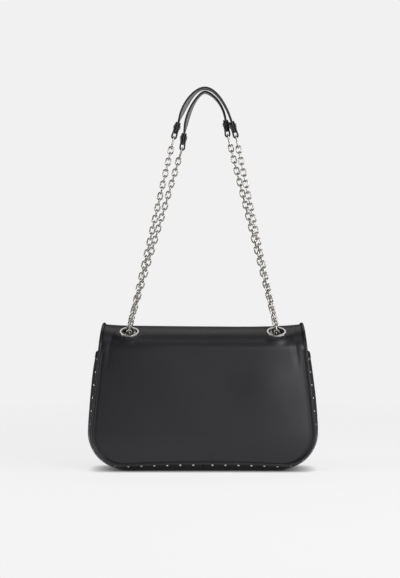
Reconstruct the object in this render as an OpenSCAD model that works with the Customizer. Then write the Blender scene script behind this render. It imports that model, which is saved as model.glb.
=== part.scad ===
// Chain-strap shoulder bag with a fold-over flap, a studded gusset and two doubled chain loops.
// +Z is up, the plain back panel faces -Y, the flap closes on the +Y side, and z = 0 is the floor.

/* [Body] */
// Width between the two side piping lines where the bag is widest
body_w = 274; // [240:1:320]
// Depth between the back piping line and the front piping line
body_d = 80; // [64:1:100]
// Height of the top ridge at mid-width
ridge_z = 176.5; // [165:0.5:210]
// Height where the back panel starts to roll over the top
shoulder_z = 149; // [142:1:154]
// Radius of the lower corners along the piping line
corner_r = 38; // [28:1:44]
// Height of the bottom piping line above the floor
seam_z = 8; // [6:0.5:11]
// How much narrower each side is at the ridge than at the widest place
side_lean = 14; // [4:0.5:18]
// How far the bottom piping line rises towards mid-width
bottom_bow = 2.5; // [0:0.5:4]
// How far the ridge rises from mid-width to its two ends
ridge_lift = 3; // [0:0.5:6]
// How far forward of mid-depth the ridge lies
ridge_y = 6; // [2:0.5:9]
// How far the front and back panels swell between their seams
panel_puff = 5; // [2:0.5:7]

/* [Leather] */
// Thickness of the outer leather
leather_t = 2; // [1.4:0.1:2.2]
// Thickness of the lining cloth
lining_t = 1; // [0.6:0.1:1.2]
// Diameter of the piping welt
piping_d = 4; // [3:0.1:5]

/* [Gusset] */
// How far the gusset swells past the piping halfway up the sides
gusset_bulge = 6.2; // [5:0.1:9]
// How much less it swells at the top of the sides and above the lower corners
gusset_taper = 1.7; // [0:0.1:3]
// How far it is drawn in round the lower corners
corner_tuck = 1.8; // [0:0.1:3.5]
// Height of the gusset's two upper ends
gusset_top_z = 146; // [138:1:148]
// Distance between neighbouring studs
stud_pitch = 15.9; // [13:0.1:20]
// Distance of the first stud from mid-width
stud_start = 11.8; // [6:0.1:16]
// Diameter of a stud's dome
stud_d = 3.4; // [3:0.1:5]
// Height of a stud's dome
stud_h = 1.4; // [1:0.1:2]

/* [Flap] */
// Height of the flap's lower edge above the floor
flap_end_z = 52; // [40:1:75]
// Radius of the flap's lower corners
flap_corner_r = 34; // [24:1:40]
// Distance of the fold line behind mid-depth
fold_back = 6; // [4:0.5:8]
// Room between the front panel and the flap's inner face
flap_room = 5.4; // [5:0.1:8]

/* [Closure] */
// Height of the magnetic snap above the floor
snap_z = 82; // [78:1:100]
// Diameter of the snap's two discs
snap_d = 18; // [15:0.5:20]

/* [Eyelets] */
// Distance of each eyelet from mid-width, as a share of the body's width
eyelet_x_share = 0.33; // [0.3:0.005:0.34]
// Bore of an eyelet
eyelet_bore = 18.4; // [17.4:0.2:19.4]
// Outer diameter of an eyelet's flange
eyelet_d = 25; // [24:0.5:27]

/* [Chain] */
// Diameter of the chain wire
wire_d = 1.8; // [1.6:0.1:1.8]
// Outer width of a link
link_w = 7.4; // [7.2:0.1:8]
// Inner length of a link
link_in = 7.4; // [7:0.1:7.6]
// Inner length of the rings at the ends of the chains
ring_in_h = 12.5; // [11:0.5:13]
// Length of an outer chain run from its eyelet to the end of its ring
outer_run = 242; // [236:1:254]
// How much shorter than the outer one the inner strap's left chain run is
inner_less_left = 14; // [8:1:24]
// How much shorter than the outer one the inner strap's right chain run is
inner_less_right = 0; // [0:1:16]
// How far the straps' tops lie to the right of mid-width
strap_shift = 2.5; // [0:0.5:4]

/* [Shoulder pads] */
// Rise of the outer pad's crown above its two leather loops
pad_rise = 43; // [40:0.5:46]
// Drop from the outer pad's crown to the inner pad's crown
pad_drop = 3.8; // [3.6:0.1:6]
// Half the distance between the outer pad's two ends
outer_half_w = 38; // [37:0.5:42]
// Half the distance between the inner pad's two ends
inner_half_w = 28; // [25:0.5:29]
// Width of a pad at its crown
pad_w = 20; // [14:0.5:24]
// Thickness of a pad
pad_t = 2.3; // [2:0.1:2.6]
// Width of a pad's end tabs
tab_w = 9; // [7:0.5:10]
// Length of the leather loops that hold the end rings
loop_l = 18; // [16:0.5:22]
// Inner radius of a loop's bend round its ring
loop_bend_r = 1.7; // [1.5:0.1:2.4]

/* [Pocket] */
// Length of the inner pocket's zip
zip_l = 130; // [100:1:150]
// Height of the inner pocket's zip above the floor
zip_z = 112; // [100:1:120]

/* [Hidden] */

black_leather = [0.07, 0.07, 0.08];
dark_lining = [0.16, 0.15, 0.15];
bright_nickel = [0.78, 0.77, 0.74];

// Clearance between neighbouring soft layers
layer_gap = 0.3;
// Room between the leather and the lining behind it
lining_gap = 0.6;
// Overrun of every cut past the face that it goes through
cut_over = 1;
seam_y = body_d / 2;
half_body_w = body_w / 2;
piping_r = piping_d / 2;
// Inset of a panel's edge from the middle of the piping
edge_inset = piping_r + layer_gap;
corner_top_z = seam_z + corner_r;
fold_y = -fold_back;

// Facets round a wire, a small round piece and a large one
wire_sides = 24;
round_sides = 32;
large_sides = 64;

// Shares of a quarter turn at which the lower corners are sampled
corner_shares = [0, 0.2, 0.4, 0.6, 0.8, 1];
// Places across a panel, from one edge to the other, as shares of its half width
across_shares = [-1, -0.97, -0.9, -0.78, -0.6, -0.36, -0.12, 0.12, 0.36, 0.6, 0.78, 0.9, 0.97, 1];
// Rows of a panel above its lower corners, and rows of each part of the roof
panel_steps = 4;
back_roof_steps = 7;
flap_roof_steps = 9;
// Height over which a panel's swell grows from its bottom seam
swell_z = 40;
// Powers that shape the lean of the sides, the swell across a panel and the ridge's lift
lean_power = 1.1;
swell_power = 4;
lift_power = 6;

// Half width of the side line at height z, drawn in by inset
function side_w(z, inset) =
    half_body_w - inset
    - side_lean * pow(max(0, z - corner_top_z) / (ridge_z - corner_top_z), lean_power);

// Half width at height z of an outline with round lower corners of radius r that starts at z_low
function outline_w(z, inset, z_low, r) =
    let (low = z_low + inset, round_r = r - inset)
    z >= low + round_r
        ? side_w(z, inset)
        : side_w(z, inset) - round_r + sqrt(max(0, pow(round_r, 2) - pow(low + round_r - z, 2)));

// How far a panel has swollen at share u of its half width and height z
function swell(u, z) =
    panel_puff * (1 - pow(abs(u), swell_power)) * (1 - pow(1 - min(1, max(0, z - seam_z) / swell_z), 2));

// Height of the bottom piping line at place x
function bow(x) = bottom_bow * max(0, 1 - pow(x / (half_body_w - corner_r), 2));

// Heights of a panel's rows, from its lower edge to its top
function row_heights(z_low, r, inset, z_high, steps) =
    let (low = z_low + inset, round_r = r - inset)
    concat(
        [for (s = corner_shares) low + round_r * (1 - cos(90 * s))],
        [for (i = [1:steps]) low + round_r + (z_high - low - round_r) * i / steps]
    );

// One row of the back panel at height z
function back_row(z, inset) =
    let (w = outline_w(z, inset, seam_z, corner_r), fade = max(0, 1 - (z - seam_z - inset) / swell_z))
    [for (u = across_shares) [u * w, -seam_y - swell(u, z), z + bow(u * w) * fade]];

// A point of the roof at share u of its half width and turn a: 0 at the back shoulder, 90 at the
// ridge and 180 at the front shoulder, where the flap starts to hang
function roof_z(u, a) =
    shoulder_z + (ridge_z + ridge_lift * pow(abs(u), lift_power) - shoulder_z) * sin(a);
function roof_depth(u, a) =
    a <= 90 ? ridge_y + seam_y + swell(u, shoulder_z) : flap_y - ridge_y;
function roof_point(u, a, inset) =
    [
        u * side_w(roof_z(0, a), inset),
        ridge_y - roof_depth(u, a) * cos(a),
        roof_z(u, a)
    ];
// One row of the roof at turn a
function roof_row(a, inset) = [for (u = across_shares) roof_point(u, a, inset)];

// Turn of the roof at which the flap folds, and the gap that the two sheets leave there
fold_turn = acos((ridge_y - fold_y) / roof_depth(0, 0));
fold_gap_turn = 0.5;
back_roof_turns =
    [for (i = [1:back_roof_steps]) (fold_turn - fold_gap_turn) * i / back_roof_steps];
flap_turn = fold_turn + fold_gap_turn;
flap_roof_turns = [for (i = [0:flap_roof_steps]) flap_turn + (180 - flap_turn) * i / flap_roof_steps];

// Room between the flap's leather and its lining, where the snap's washer lies
flap_gap = 0.9;
// Depth of the hanging flap's outer face
flap_y = seam_y + panel_puff + flap_room + lining_t + flap_gap + leather_t;
// One row of the hanging flap at height z
function flap_row(z, inset) =
    let (w = outline_w(z, inset, flap_end_z, flap_corner_r))
    [for (u = across_shares) [u * w, flap_y, z]];
// Heights of the hanging flap's rows, from the shoulder down
function flap_heights(inset) =
    let (rows = row_heights(flap_end_z, flap_corner_r, inset, shoulder_z, panel_steps))
    [for (i = [len(rows) - 2:-1:0]) rows[i]];

// Grids of the outer faces: the back panel with its part of the roof, the flap and the front panel
function back_grid(inset) =
    concat(
        [for (z = row_heights(seam_z, corner_r, inset, shoulder_z, panel_steps)) back_row(z, inset)],
        [for (a = back_roof_turns) roof_row(a, inset)]
    );
function flap_grid(inset) =
    concat(
        [for (a = flap_roof_turns) roof_row(a, inset)],
        [for (z = flap_heights(inset)) flap_row(z, inset)]
    );

// Height of the front panel's top edge
front_top_z = gusset_top_z + 3 * layer_gap;
function to_front(g) = [for (r = g) [for (p = r) [-p[0], -p[1], p[2]]]];
function front_grid(inset) =
    to_front([
        for (z = row_heights(seam_z, corner_r, inset, front_top_z, panel_steps))
            back_row(z, inset)
    ]);

// Direction of a vector, and index i kept within a list of n
function unit(v) = v / norm(v);
function clamped(i, n) = max(0, min(n - 1, i));
// Normal of a grid of points at row i and column j
function grid_normal(g, i, j) =
    let (
        rows = len(g),
        cols = len(g[0]),
        along = g[clamped(i + 1, rows)][j] - g[clamped(i - 1, rows)][j],
        across = g[i][clamped(j + 1, cols)] - g[i][clamped(j - 1, cols)]
    )
    unit(cross(across, along));
// A grid moved along its normals by distance d
function moved_grid(g, d) =
    [for (i = [0:len(g) - 1]) [for (j = [0:len(g[0]) - 1]) g[i][j] + d * grid_normal(g, i, j)]];

// Two triangles for each cell of a rows by cols grid whose points start at index first
function cell_faces(rows, cols, first, flip) =
    [
        for (i = [0:rows - 2], j = [0:cols - 2])
            let (a = first + i * cols + j, b = a + 1, c = a + cols, d = c + 1)
            each (flip ? [[a, b, d], [a, d, c]] : [[a, d, b], [a, c, d]])
    ];
// Closes the rim between two grids of the same size
function rim_faces(rows, cols) =
    let (
        shift = rows * cols,
        rim = concat(
            [for (j = [0:cols - 1]) j],
            [for (i = [1:rows - 1]) i * cols + cols - 1],
            [for (j = [cols - 2:-1:0]) (rows - 1) * cols + j],
            [for (i = [rows - 2:-1:1]) i * cols]
        )
    )
    [
        for (k = [0:len(rim) - 1])
            let (a = rim[k], b = rim[(k + 1) % len(rim)])
            each [[a, b, b + shift], [a, b + shift, a + shift]]
    ];
// Sheet between the surface g moved out by high and the same surface moved by low
module sheet(g, high, low) {
    rows = len(g);
    cols = len(g[0]);
    top = moved_grid(g, high);
    under = moved_grid(g, low);
    polyhedron(
        points = [for (r = concat(top, under)) each r],
        faces = concat(
            cell_faces(rows, cols, 0, false),
            cell_faces(rows, cols, rows * cols, true),
            rim_faces(rows, cols)
        ),
        convexity = 6
    );
}

// Solid through a list of rings, each a list of as many points
module loft(rings) {
    sides = len(rings[0]);
    last = (len(rings) - 1) * sides;
    walls = [
        for (i = [0:len(rings) - 2], k = [0:sides - 1])
            let (a = i * sides + k, b = i * sides + (k + 1) % sides, c = a + sides, d = b + sides)
            each [[a, b, d], [a, d, c]]
    ];
    caps = [for (k = [1:sides - 2]) each [[0, k + 1, k], [last, last + k, last + k + 1]]];
    polyhedron(points = [for (r = rings) each r], faces = concat(walls, caps), convexity = 6);
}

// Direction of a path of points at point i
function path_dir(p, i) = unit(p[min(i + 1, len(p) - 1)] - p[max(i - 1, 0)]);
// Side directions along a path from point i on, carried along from direction a without twist
function carried(p, i, a) =
    i >= len(p)
        ? []
        : let (t = path_dir(p, i), side = unit(a - (a * t) * t))
          concat([side], carried(p, i + 1, side));

// Round tube of radius r along a path of points that starts square to direction side
tube_sides = 8;
module tube(p, r, side) {
    sides = carried(p, 0, side);
    loft([
        for (i = [0:len(p) - 1])
            let (a = sides[i], b = cross(a, path_dir(p, i)))
            [
                for (k = [0:tube_sides - 1])
                    let (turn = 360 * (k + 0.5) / tube_sides)
                    p[i] + r * (cos(turn) * a + sin(turn) * b)
            ]
    ]);
}

// The seam line in the plane of a panel at length s from mid-width: [x, z, angle], where the angle
// turns the outward normal from straight down (0) to straight out (90)
seam_flat = half_body_w - corner_r;
seam_round = corner_r * PI / 2;
function seam_at(s) =
    s < seam_flat
        ? [s, seam_z + bow(s), 0]
        : s < seam_flat + seam_round
            ? let (a = 90 * (s - seam_flat) / seam_round)
              [seam_flat + corner_r * sin(a), corner_top_z - corner_r * cos(a), a]
            : let (z = corner_top_z + s - seam_flat - seam_round)
              [side_w(z, 0), z, 90];

// Places of the seam line from mid-width, or from start if it is given, up one side to height z_end
bottom_steps = 5;
side_steps = 6;
function seam_half(z_end, start = 0) =
    let (side_l = z_end - corner_top_z)
    concat(
        [for (i = [0:bottom_steps - 1]) seam_at(start + (seam_flat - start) * i / bottom_steps)],
        [for (k = corner_shares) seam_at(seam_flat + seam_round * k)],
        [for (i = [1:side_steps]) seam_at(seam_flat + seam_round + side_l * i / side_steps)]
    );
// The whole seam line, from the top of the left side to the top of the right side
function seam_whole(z_end) =
    let (half = seam_half(z_end))
    concat([for (i = [len(half) - 1:-1:1]) [-half[i][0], half[i][1], -half[i][2]]], half);
// The seam line as points at depth y
function seam_path(z_end, y) = [for (p = seam_whole(z_end)) [p[0], y, p[1]]];

// Edge line of the roof on side s, at the given turns
function roof_edge(s, turns) = [for (a = turns) roof_point(s, a, 0)];
// A list from its end to its start
function reversed(v) = [for (i = [len(v) - 1:-1:0]) v[i]];
// Middle lines of the three runs of piping
back_piping_path = concat(
    reversed(roof_edge(-1, back_roof_turns)),
    seam_path(shoulder_z, -seam_y),
    roof_edge(1, back_roof_turns)
);
front_piping_path = seam_path(front_top_z, seam_y);
flap_side = [for (z = flap_heights(0)) [outline_w(z, 0, flap_end_z, flap_corner_r), flap_y, z]];
flap_piping_path = concat(
    roof_edge(-1, flap_roof_turns),
    [for (p = flap_side) [-p[0], p[1], p[2]]],
    reversed(flap_side),
    reversed(roof_edge(1, flap_roof_turns))
);

// Cross-section of the gusset: flat in the middle, then curved down to both seams
gusset_shares = [-1, -0.97, -0.9, -0.8, -0.6, 0, 0.6, 0.8, 0.9, 0.97, 1];
gusset_flat_share = 0.6;
gusset_half = seam_y - edge_inset;
// How far round its edge the gusset has turned at depth y, and how much of its rise is left there
function dome_turn(y) =
    min(1, max(0, (abs(y) / gusset_half - gusset_flat_share) / (1 - gusset_flat_share)));
function dome(y) = 1 - pow(dome_turn(y), 2);
gusset_mid_z = (corner_top_z + gusset_top_z) / 2;
// Power that puts the deepest place of the corner tuck low in the corner
tuck_power = 0.55;
// How far the gusset stands out from the seam line at place p = [x, z, angle]
function gusset_out(p) =
    abs(p[2]) == 90
        ? gusset_bulge - gusset_taper * pow((p[1] - gusset_mid_z) / (gusset_top_z - gusset_mid_z), 2)
        : seam_z + (gusset_bulge - gusset_taper - seam_z) * abs(p[2]) / 90
          - corner_tuck * sin(180 * pow(abs(p[2]) / 90, tuck_power))
          + (p[2] == 0 ? bow(p[0]) : 0);
// A point of the gusset's outer face, and its grid over a list of places
function gusset_point(p, y) =
    let (out = gusset_out(p) * dome(y))
    [p[0] + sin(p[2]) * out, y, p[1] - cos(p[2]) * out];
function gusset_grid(places, half) =
    [for (p = places) [for (v = gusset_shares) gusset_point(p, v * half)]];

// Patch of the back panel's surface between two heights, w wide to each side of mid-width
patch_shares = [-1, -0.67, -0.33, 0, 0.33, 0.67, 1];
patch_steps = 3;
function patch_grid(w, z_low, z_high) =
    [
        for (i = [0:patch_steps])
            let (z = z_low + (z_high - z_low) * i / patch_steps)
            [for (u = patch_shares) [u * w, -seam_y - swell(u * w / side_w(z, 0), z), z]]
    ];

// Depth at which the lining starts and ends behind the leather's outer face
lining_in = leather_t + lining_gap;
lining_out = lining_in + lining_t;
// Inset of the lining's edges from the middle of the piping
lining_inset = edge_inset + leather_t + lining_t;
flap_lining_in = leather_t + flap_gap;
flap_lining_out = flap_lining_in + lining_t;

// Turn of the roof at which the eyelets sit, and how far the roof leans back there
eyelet_turn = 48;
eyelet_x = eyelet_x_share * body_w;
eyelet_u = eyelet_x / side_w(ridge_z, 0);
eyelet_roof = roof_point(eyelet_u, eyelet_turn, 0);
eyelet_at = [eyelet_x, eyelet_roof[1], eyelet_roof[2]];
roof_lean = atan2(
    cos(eyelet_turn) * (ridge_z - shoulder_z),
    sin(eyelet_turn) * roof_depth(0, 0)
);
roof_out = [0, -sin(roof_lean), cos(roof_lean)];
roof_up = [0, cos(roof_lean), sin(roof_lean)];
// Thickness of the flange, wall of the barrel and thickness of the washer
flange_t = 1.4;
barrel_wall = 0.6;
washer_t = 1;
// How far the curved roof has dropped under the eyelet's flat rim
rim_drop = 2;
eyelet_hole_r = eyelet_bore / 2 + barrel_wall + layer_gap;
barrel_l = lining_out + rim_drop + washer_t + 2 * layer_gap;

// Clearance between hooked wires, and between the chains and the bore
chain_gap = 0.2;
hook = wire_d + chain_gap;
link_mid = link_in + wire_d;
link_r = (link_w - wire_d) / 2;
link_bar = link_mid - 2 * link_r;
chain_pitch = link_mid - hook;
// Distance of each chain from the middle of the bore, along the roof's slope
chain_row = eyelet_bore / 2 - link_w / 2 - chain_gap;
// Height above the leather of the wire on which the outer chain swings
root_rise = 6.4;
// How much lower the inner chain's own wire is
root_step = chain_gap;
outer_pivot = eyelet_at - chain_row * roof_up + root_rise * roof_out;
inner_base = eyelet_at + chain_row * roof_up + (root_rise - root_step) * roof_out;

// End rings: corner radius and clearance beside the leather loop
ring_r = 2;
ring_side_gap = 0.3;
ring_h = ring_in_h + wire_d;
ring_bar = tab_w + 2 * ring_side_gap;

// Links in each run, always so many that a run ends with a link square to its ring; a side is -1
// on the left and 1 on the right
inner_run_left = outer_run - inner_less_left;
inner_run_right = outer_run - inner_less_right;
function run_links(run) = 2 * round((run + hook - ring_h) / (2 * chain_pitch));
outer_links = run_links(outer_run);
function inner_links(side) = run_links(side < 0 ? inner_run_left : inner_run_right) - 1;
// Length of each run from its pivot to its ring's upper bar
outer_l = outer_links * chain_pitch - hook + ring_h;
function inner_l(side) = inner_links(side) * chain_pitch + ring_h;
// Distance of a strap's end from mid-width
function reach(half_w, side) = half_w + side * strap_shift;
// The inner strap swings on a short upright link of its own, which leans a little as the runs do
inner_root_lean = asin((eyelet_x - inner_half_w) / inner_run_right);
inner_pivot = inner_base + (chain_pitch - hook) * [-sin(inner_root_lean), 0, cos(inner_root_lean)];
// Lean of the runs towards the straps' ends
function outer_lean(side) = asin((outer_pivot[0] - reach(outer_half_w, side)) / outer_l);
function inner_lean(side) = asin((inner_pivot[0] - reach(inner_half_w, side)) / inner_l(side));

// Leather loops on the end rings: thickness and clearance
loop_t = 2;
loop_gap = 0.15;
// Half the distance between a loop's legs beside the pad
leg_r = pad_t / 2 + loop_gap;
// Height above the bend at which the legs have closed on the pad
loop_close_l = 7;
// How far the middle of a loop's bend lies above the ring's upper bar
loop_rise = loop_bend_r - wire_d / 2 - loop_gap;
// How far above that the pad's end lies
pad_start = 3.4;
// Lean of each pad's two ends towards mid-width
outer_tab_lean = 17;
inner_tab_lean = 8;
// Rivets: shank, heads, place along the loop and clearance in their holes
rivet_d = 2.4;
rivet_head_d = 5;
rivet_head_t = 0.9;
rivet_rise_share = 0.66;
rivet_gap = 0.15;

// Frame on the roof at an eyelet: its Z stands square to the leather
module on_roof(side) {
    translate([side * eyelet_x, eyelet_at[1], eyelet_at[2]])
        rotate([roof_lean, 0, 0])
            children();
}

// Puts the middle of the whole bag's depth at y = 0
front_reach = flap_y + piping_r * cos(180 / tube_sides);
back_reach = max(seam_y + panel_puff, pad_w / 2 - outer_pivot[1]);
module placed() {
    translate([0, (back_reach - front_reach) / 2, 0])
        children();
}

// Holes for the eyelets' barrels
module eyelet_holes() {
    for (side = [-1, 1])
        on_roof(side)
            cylinder(r = eyelet_hole_r, h = 2 * eyelet_hole_r, center = true, $fn = large_sides);
}

module back_panel() {
    color(black_leather)
        placed()
            difference() {
                sheet(back_grid(edge_inset), 0, -leather_t);
                eyelet_holes();
            }
}

module lining_back() {
    color(dark_lining)
        placed()
            difference() {
                sheet(back_grid(lining_inset), -lining_in, -lining_out);
                eyelet_holes();
            }
}

// Snap: two discs that meet between the front panel and the flap, each on a post with a washer
snap_gap = 0.3;
snap_seat = 0.1;
snap_t = (flap_room - snap_gap - 2 * snap_seat) / 2;
snap_post_d = 5;
snap_post_gap = 0.3;
snap_washer_d = 12;
snap_washer_t = 0.5;
front_y = seam_y + panel_puff;
flap_inner_y = flap_y - flap_lining_out;
front_lining_in = leather_t + flap_gap;
front_lining_out = front_lining_in + lining_t;
// Frame at the snap whose Z points along +Y from depth y
module along_y(y) {
    translate([0, y, snap_z])
        rotate([-90, 0, 0])
            children();
}
module snap_hole(y) {
    along_y(y - cut_over)
        cylinder(d = snap_post_d + 2 * snap_post_gap, h = snap_t + 2 * cut_over, $fn = round_sides);
}

module front_panel() {
    color(black_leather)
        placed()
            difference() {
                sheet(front_grid(edge_inset), 0, -leather_t);
                snap_hole(front_y - leather_t);
            }
}

module lining_front() {
    color(dark_lining)
        placed()
            sheet(front_grid(lining_inset + flap_gap), -front_lining_in, -front_lining_out);
}

module gusset_half_shell() {
    sheet(gusset_grid(seam_half(gusset_top_z, layer_gap / 2), gusset_half), 0, -leather_t);
}

module gusset_right() {
    color(black_leather)
        placed()
            gusset_half_shell();
}

module gusset_left() {
    color(black_leather)
        placed()
            mirror([1, 0, 0])
                gusset_half_shell();
}

module lining_gusset() {
    color(dark_lining)
        placed()
            sheet(
                gusset_grid(seam_whole(gusset_top_z - layer_gap), seam_y - lining_inset),
                -lining_in,
                -lining_out
            );
}

module back_piping() {
    color(black_leather)
        placed()
            tube(back_piping_path, piping_r, [1, 0, 0]);
}

module front_piping() {
    color(black_leather)
        placed()
            tube(front_piping_path, piping_r, [1, 0, 0]);
}

// Domed studs in a row along each seam of the gusset
stud_row_share = 0.95;
stud_seat = 0.2;
stud_end_gap = 7;
stud_y = gusset_half * stud_row_share;
stud_row_l = seam_flat + seam_round + gusset_top_z - corner_top_z - stud_start - stud_end_gap;
stud_count = floor(stud_row_l / stud_pitch) + 1;
stud_cap_r = (pow(stud_d / 2, 2) + pow(stud_h, 2)) / (2 * stud_h);
// Lean of the gusset's face towards its seam where the studs sit
function stud_tilt(p) =
    atan2(2 * gusset_out(p) * dome_turn(stud_y), (1 - gusset_flat_share) * gusset_half);
module stud() {
    intersection() {
        translate([0, 0, stud_h - stud_cap_r])
            sphere(r = stud_cap_r, $fn = round_sides);
        cylinder(d = 2 * stud_d, h = 2 * stud_h, $fn = round_sides);
    }
}
module gusset_studs() {
    color(bright_nickel)
        placed()
            for (side = [-1, 1], row = [-1, 1], i = [0:stud_count - 1]) {
                p = seam_at(stud_start + i * stud_pitch);
                at = gusset_point(p, stud_y);
                tilt = stud_tilt(p);
                translate([side * at[0], row * at[1], at[2]])
                    rotate([0, side * (180 - p[2]), 0])
                        rotate([-row * tilt, 0, 0])
                            translate([0, 0, stud_seat])
                                stud();
            }
}

// Stiff board on the bottom's lining
board_t = 1.6;
board_end_gap = 4;
module base_board() {
    board_l = 2 * (seam_flat - board_end_gap);
    board_w = 2 * (gusset_flat_share * gusset_half - lining_out);
    color(dark_lining)
        placed()
            translate([-board_l / 2, -board_w / 2, lining_out + layer_gap])
                cube([board_l, board_w, board_t]);
}

// Eyelet: a round-edged flange on a barrel
module eyelet() {
    flange_w = (eyelet_d - eyelet_bore) / 2;
    translate([0, 0, layer_gap])
        rotate_extrude($fn = large_sides)
            translate([eyelet_bore / 2, 0])
                polygon([
                    [0, -layer_gap - barrel_l],
                    [barrel_wall, -layer_gap - barrel_l],
                    [barrel_wall, 0],
                    [flange_w, 0],
                    [flange_w, flange_t / 2],
                    [flange_w - flange_t / 2, flange_t],
                    [flange_t / 2, flange_t],
                    [0, flange_t / 2]
                ]);
}

module eyelet_left() {
    color(bright_nickel)
        placed()
            on_roof(-1)
                eyelet();
}

module eyelet_right() {
    color(bright_nickel)
        placed()
            on_roof(1)
                eyelet();
}

module eyelet_washers() {
    color(bright_nickel)
        placed()
            for (side = [-1, 1])
                on_roof(side)
                    translate([0, 0, -barrel_l])
                        difference() {
                            cylinder(d = eyelet_d, h = washer_t, $fn = large_sides);
                            translate([0, 0, -cut_over])
                                cylinder(r = eyelet_hole_r, h = washer_t + 2 * cut_over, $fn = large_sides);
                        }
}

module snap_socket() {
    color(bright_nickel)
        placed()
            difference() {
                union() {
                    along_y(front_y + snap_seat)
                        cylinder(d = snap_d, h = snap_t, $fn = large_sides);
                    along_y(front_y - leather_t - layer_gap - snap_washer_t)
                        cylinder(
                            d = snap_post_d,
                            h = leather_t + layer_gap + snap_washer_t + snap_seat + snap_t / 2,
                            $fn = round_sides
                        );
                }
                along_y(front_y + snap_seat + snap_t / 2)
                    cylinder(d = snap_post_d, h = snap_t, $fn = round_sides);
            }
}

// Washer on a snap's post
module snap_ring() {
    difference() {
        cylinder(d = snap_washer_d, h = snap_washer_t, $fn = round_sides);
        translate([0, 0, -cut_over])
            cylinder(d = snap_post_d + 2 * snap_seat, h = snap_washer_t + 2 * cut_over, $fn = round_sides);
    }
}

module snap_socket_washer() {
    color(bright_nickel)
        placed()
            along_y(front_y - leather_t - layer_gap / 2 - snap_washer_t)
                snap_ring();
}

module snap_stud() {
    color(bright_nickel)
        placed() {
            along_y(flap_inner_y - snap_seat - snap_t)
                cylinder(d = snap_d, h = snap_t, $fn = large_sides);
            along_y(flap_inner_y - snap_seat - snap_t / 2)
                cylinder(
                    d = snap_post_d,
                    h = snap_t / 2 + snap_seat + lining_t + layer_gap / 2 + snap_washer_t,
                    $fn = round_sides
                );
        }
}

module snap_stud_washer() {
    color(bright_nickel)
        placed()
            along_y(flap_inner_y + lining_t + layer_gap / 2)
                snap_ring();
}

// One chain link in the XZ plane, long along Z
module link() {
    for (side = [-1, 1])
        translate([side * link_r, 0, 0])
            cylinder(d = wire_d, h = link_bar, center = true, $fn = wire_sides);
    for (turn = [0, 180])
        rotate([0, turn, 0])
            translate([0, 0, link_bar / 2])
                rotate([90, 0, 0])
                    rotate_extrude(angle = 180, $fn = round_sides)
                        translate([link_r, 0])
                            circle(d = wire_d, $fn = wire_sides);
}

// A straight run of links along Z whose first lower wire lies at height z; a run starts with a link
// that is turned by first degrees, and every other link is turned a quarter more
module chain_run(links, z, first) {
    for (i = [0:links - 1])
        translate([0, 0, z + link_mid / 2 + i * chain_pitch])
            rotate([0, 0, first + 90 * i])
                link();
}

// A place on the right, moved to the left side
function left_of(p) = [-p[0], p[1], p[2]];

// What is drawn for the left side, put on the given side
module on_side(side) {
    mirror([max(side, 0), 0, 0])
        children();
}

module outer_chain(side) {
    color(bright_nickel)
        placed()
            on_side(side)
                translate(left_of(outer_pivot))
                    rotate([0, outer_lean(side), 0])
                        chain_run(outer_links, -hook, 90);
}

module outer_chain_left() {
    outer_chain(-1);
}

module outer_chain_right() {
    outer_chain(1);
}

module inner_chain(side) {
    color(bright_nickel)
        placed()
            on_side(side)
                translate(left_of(inner_pivot))
                    rotate([0, inner_lean(side), 0])
                        chain_run(inner_links(side), 0, 0);
}

module inner_chain_left() {
    inner_chain(-1);
}

module inner_chain_right() {
    inner_chain(1);
}

// The stretch of a chain that runs inside the bag from one eyelet to the other, on the given row
// and with its outermost wire at the given height, in the roof's own slope
cross_turns = [30, 60];
module cross_chain(row, rise) {
    drop = rise - link_mid + hook / 2 - chain_pitch;
    turn_1 = [eyelet_x - chain_pitch * sin(cross_turns[0]), drop - chain_pitch * cos(cross_turns[0])];
    turn_2 = turn_1 - chain_pitch * [sin(cross_turns[1]), cos(cross_turns[1])];
    count = 2 * ceil((2 * turn_2[0] / chain_pitch - 1) / 2) + 1;
    step = 2 * turn_2[0] / count;
    bends = [[eyelet_x, drop], turn_1, turn_2];
    middles = [for (i = [0, 1]) (bends[i] + bends[i + 1]) / 2];
    translate([0, eyelet_at[1], eyelet_at[2]])
        rotate([roof_lean, 0, 0])
            translate([0, row, 0]) {
                for (side = [-1, 1]) {
                    translate([side * eyelet_x, 0, rise - link_mid / 2])
                        link();
                    translate([side * eyelet_x, 0, rise - link_mid / 2 - chain_pitch])
                        rotate([0, 0, 90])
                            link();
                    for (i = [0, 1])
                        translate([side * middles[i][0], 0, middles[i][1]])
                            rotate([0, side * cross_turns[i], 0])
                                rotate([0, 0, 90 * i])
                                    link();
                }
                for (i = [0:count - 1])
                    translate([(i + 0.5) * step - turn_2[0], 0, turn_2[1]])
                        rotate([0, 90, 0])
                            rotate([0, 0, 90 * (i % 2)])
                                link();
            }
}

module outer_cross_chain() {
    color(bright_nickel)
        placed()
            cross_chain(-chain_row, root_rise);
}

module inner_cross_chain() {
    color(bright_nickel)
        placed() {
            cross_chain(chain_row, root_rise - root_step);
            for (side = [-1, 1])
                translate([side * inner_base[0], inner_base[1], inner_base[2]])
                    rotate([0, -side * inner_root_lean, 0])
                        chain_run(1, -hook, 90);
        }
}

// End ring in the YZ plane: its lower bar lies on the origin and its upper bar ring_h above
module end_ring() {
    for (z = [0, ring_h])
        translate([0, 0, z])
            rotate([90, 0, 0])
                cylinder(d = wire_d, h = ring_bar, center = true, $fn = wire_sides);
    for (side = [-1, 1])
        translate([0, side * (ring_bar / 2 + ring_r), ring_r])
            cylinder(d = wire_d, h = ring_h - 2 * ring_r, $fn = wire_sides);
    for (turn = [0, 180])
        translate([0, 0, ring_h / 2])
            rotate([turn, 0, 0])
                for (side = [0, 1])
                    mirror([0, side, 0])
                        translate([0, ring_bar / 2, ring_h / 2 - ring_r])
                            rotate([90, 0, 90])
                                rotate_extrude(angle = 90, $fn = round_sides)
                                    translate([ring_r, 0])
                                        circle(d = wire_d, $fn = wire_sides);
}

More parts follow.
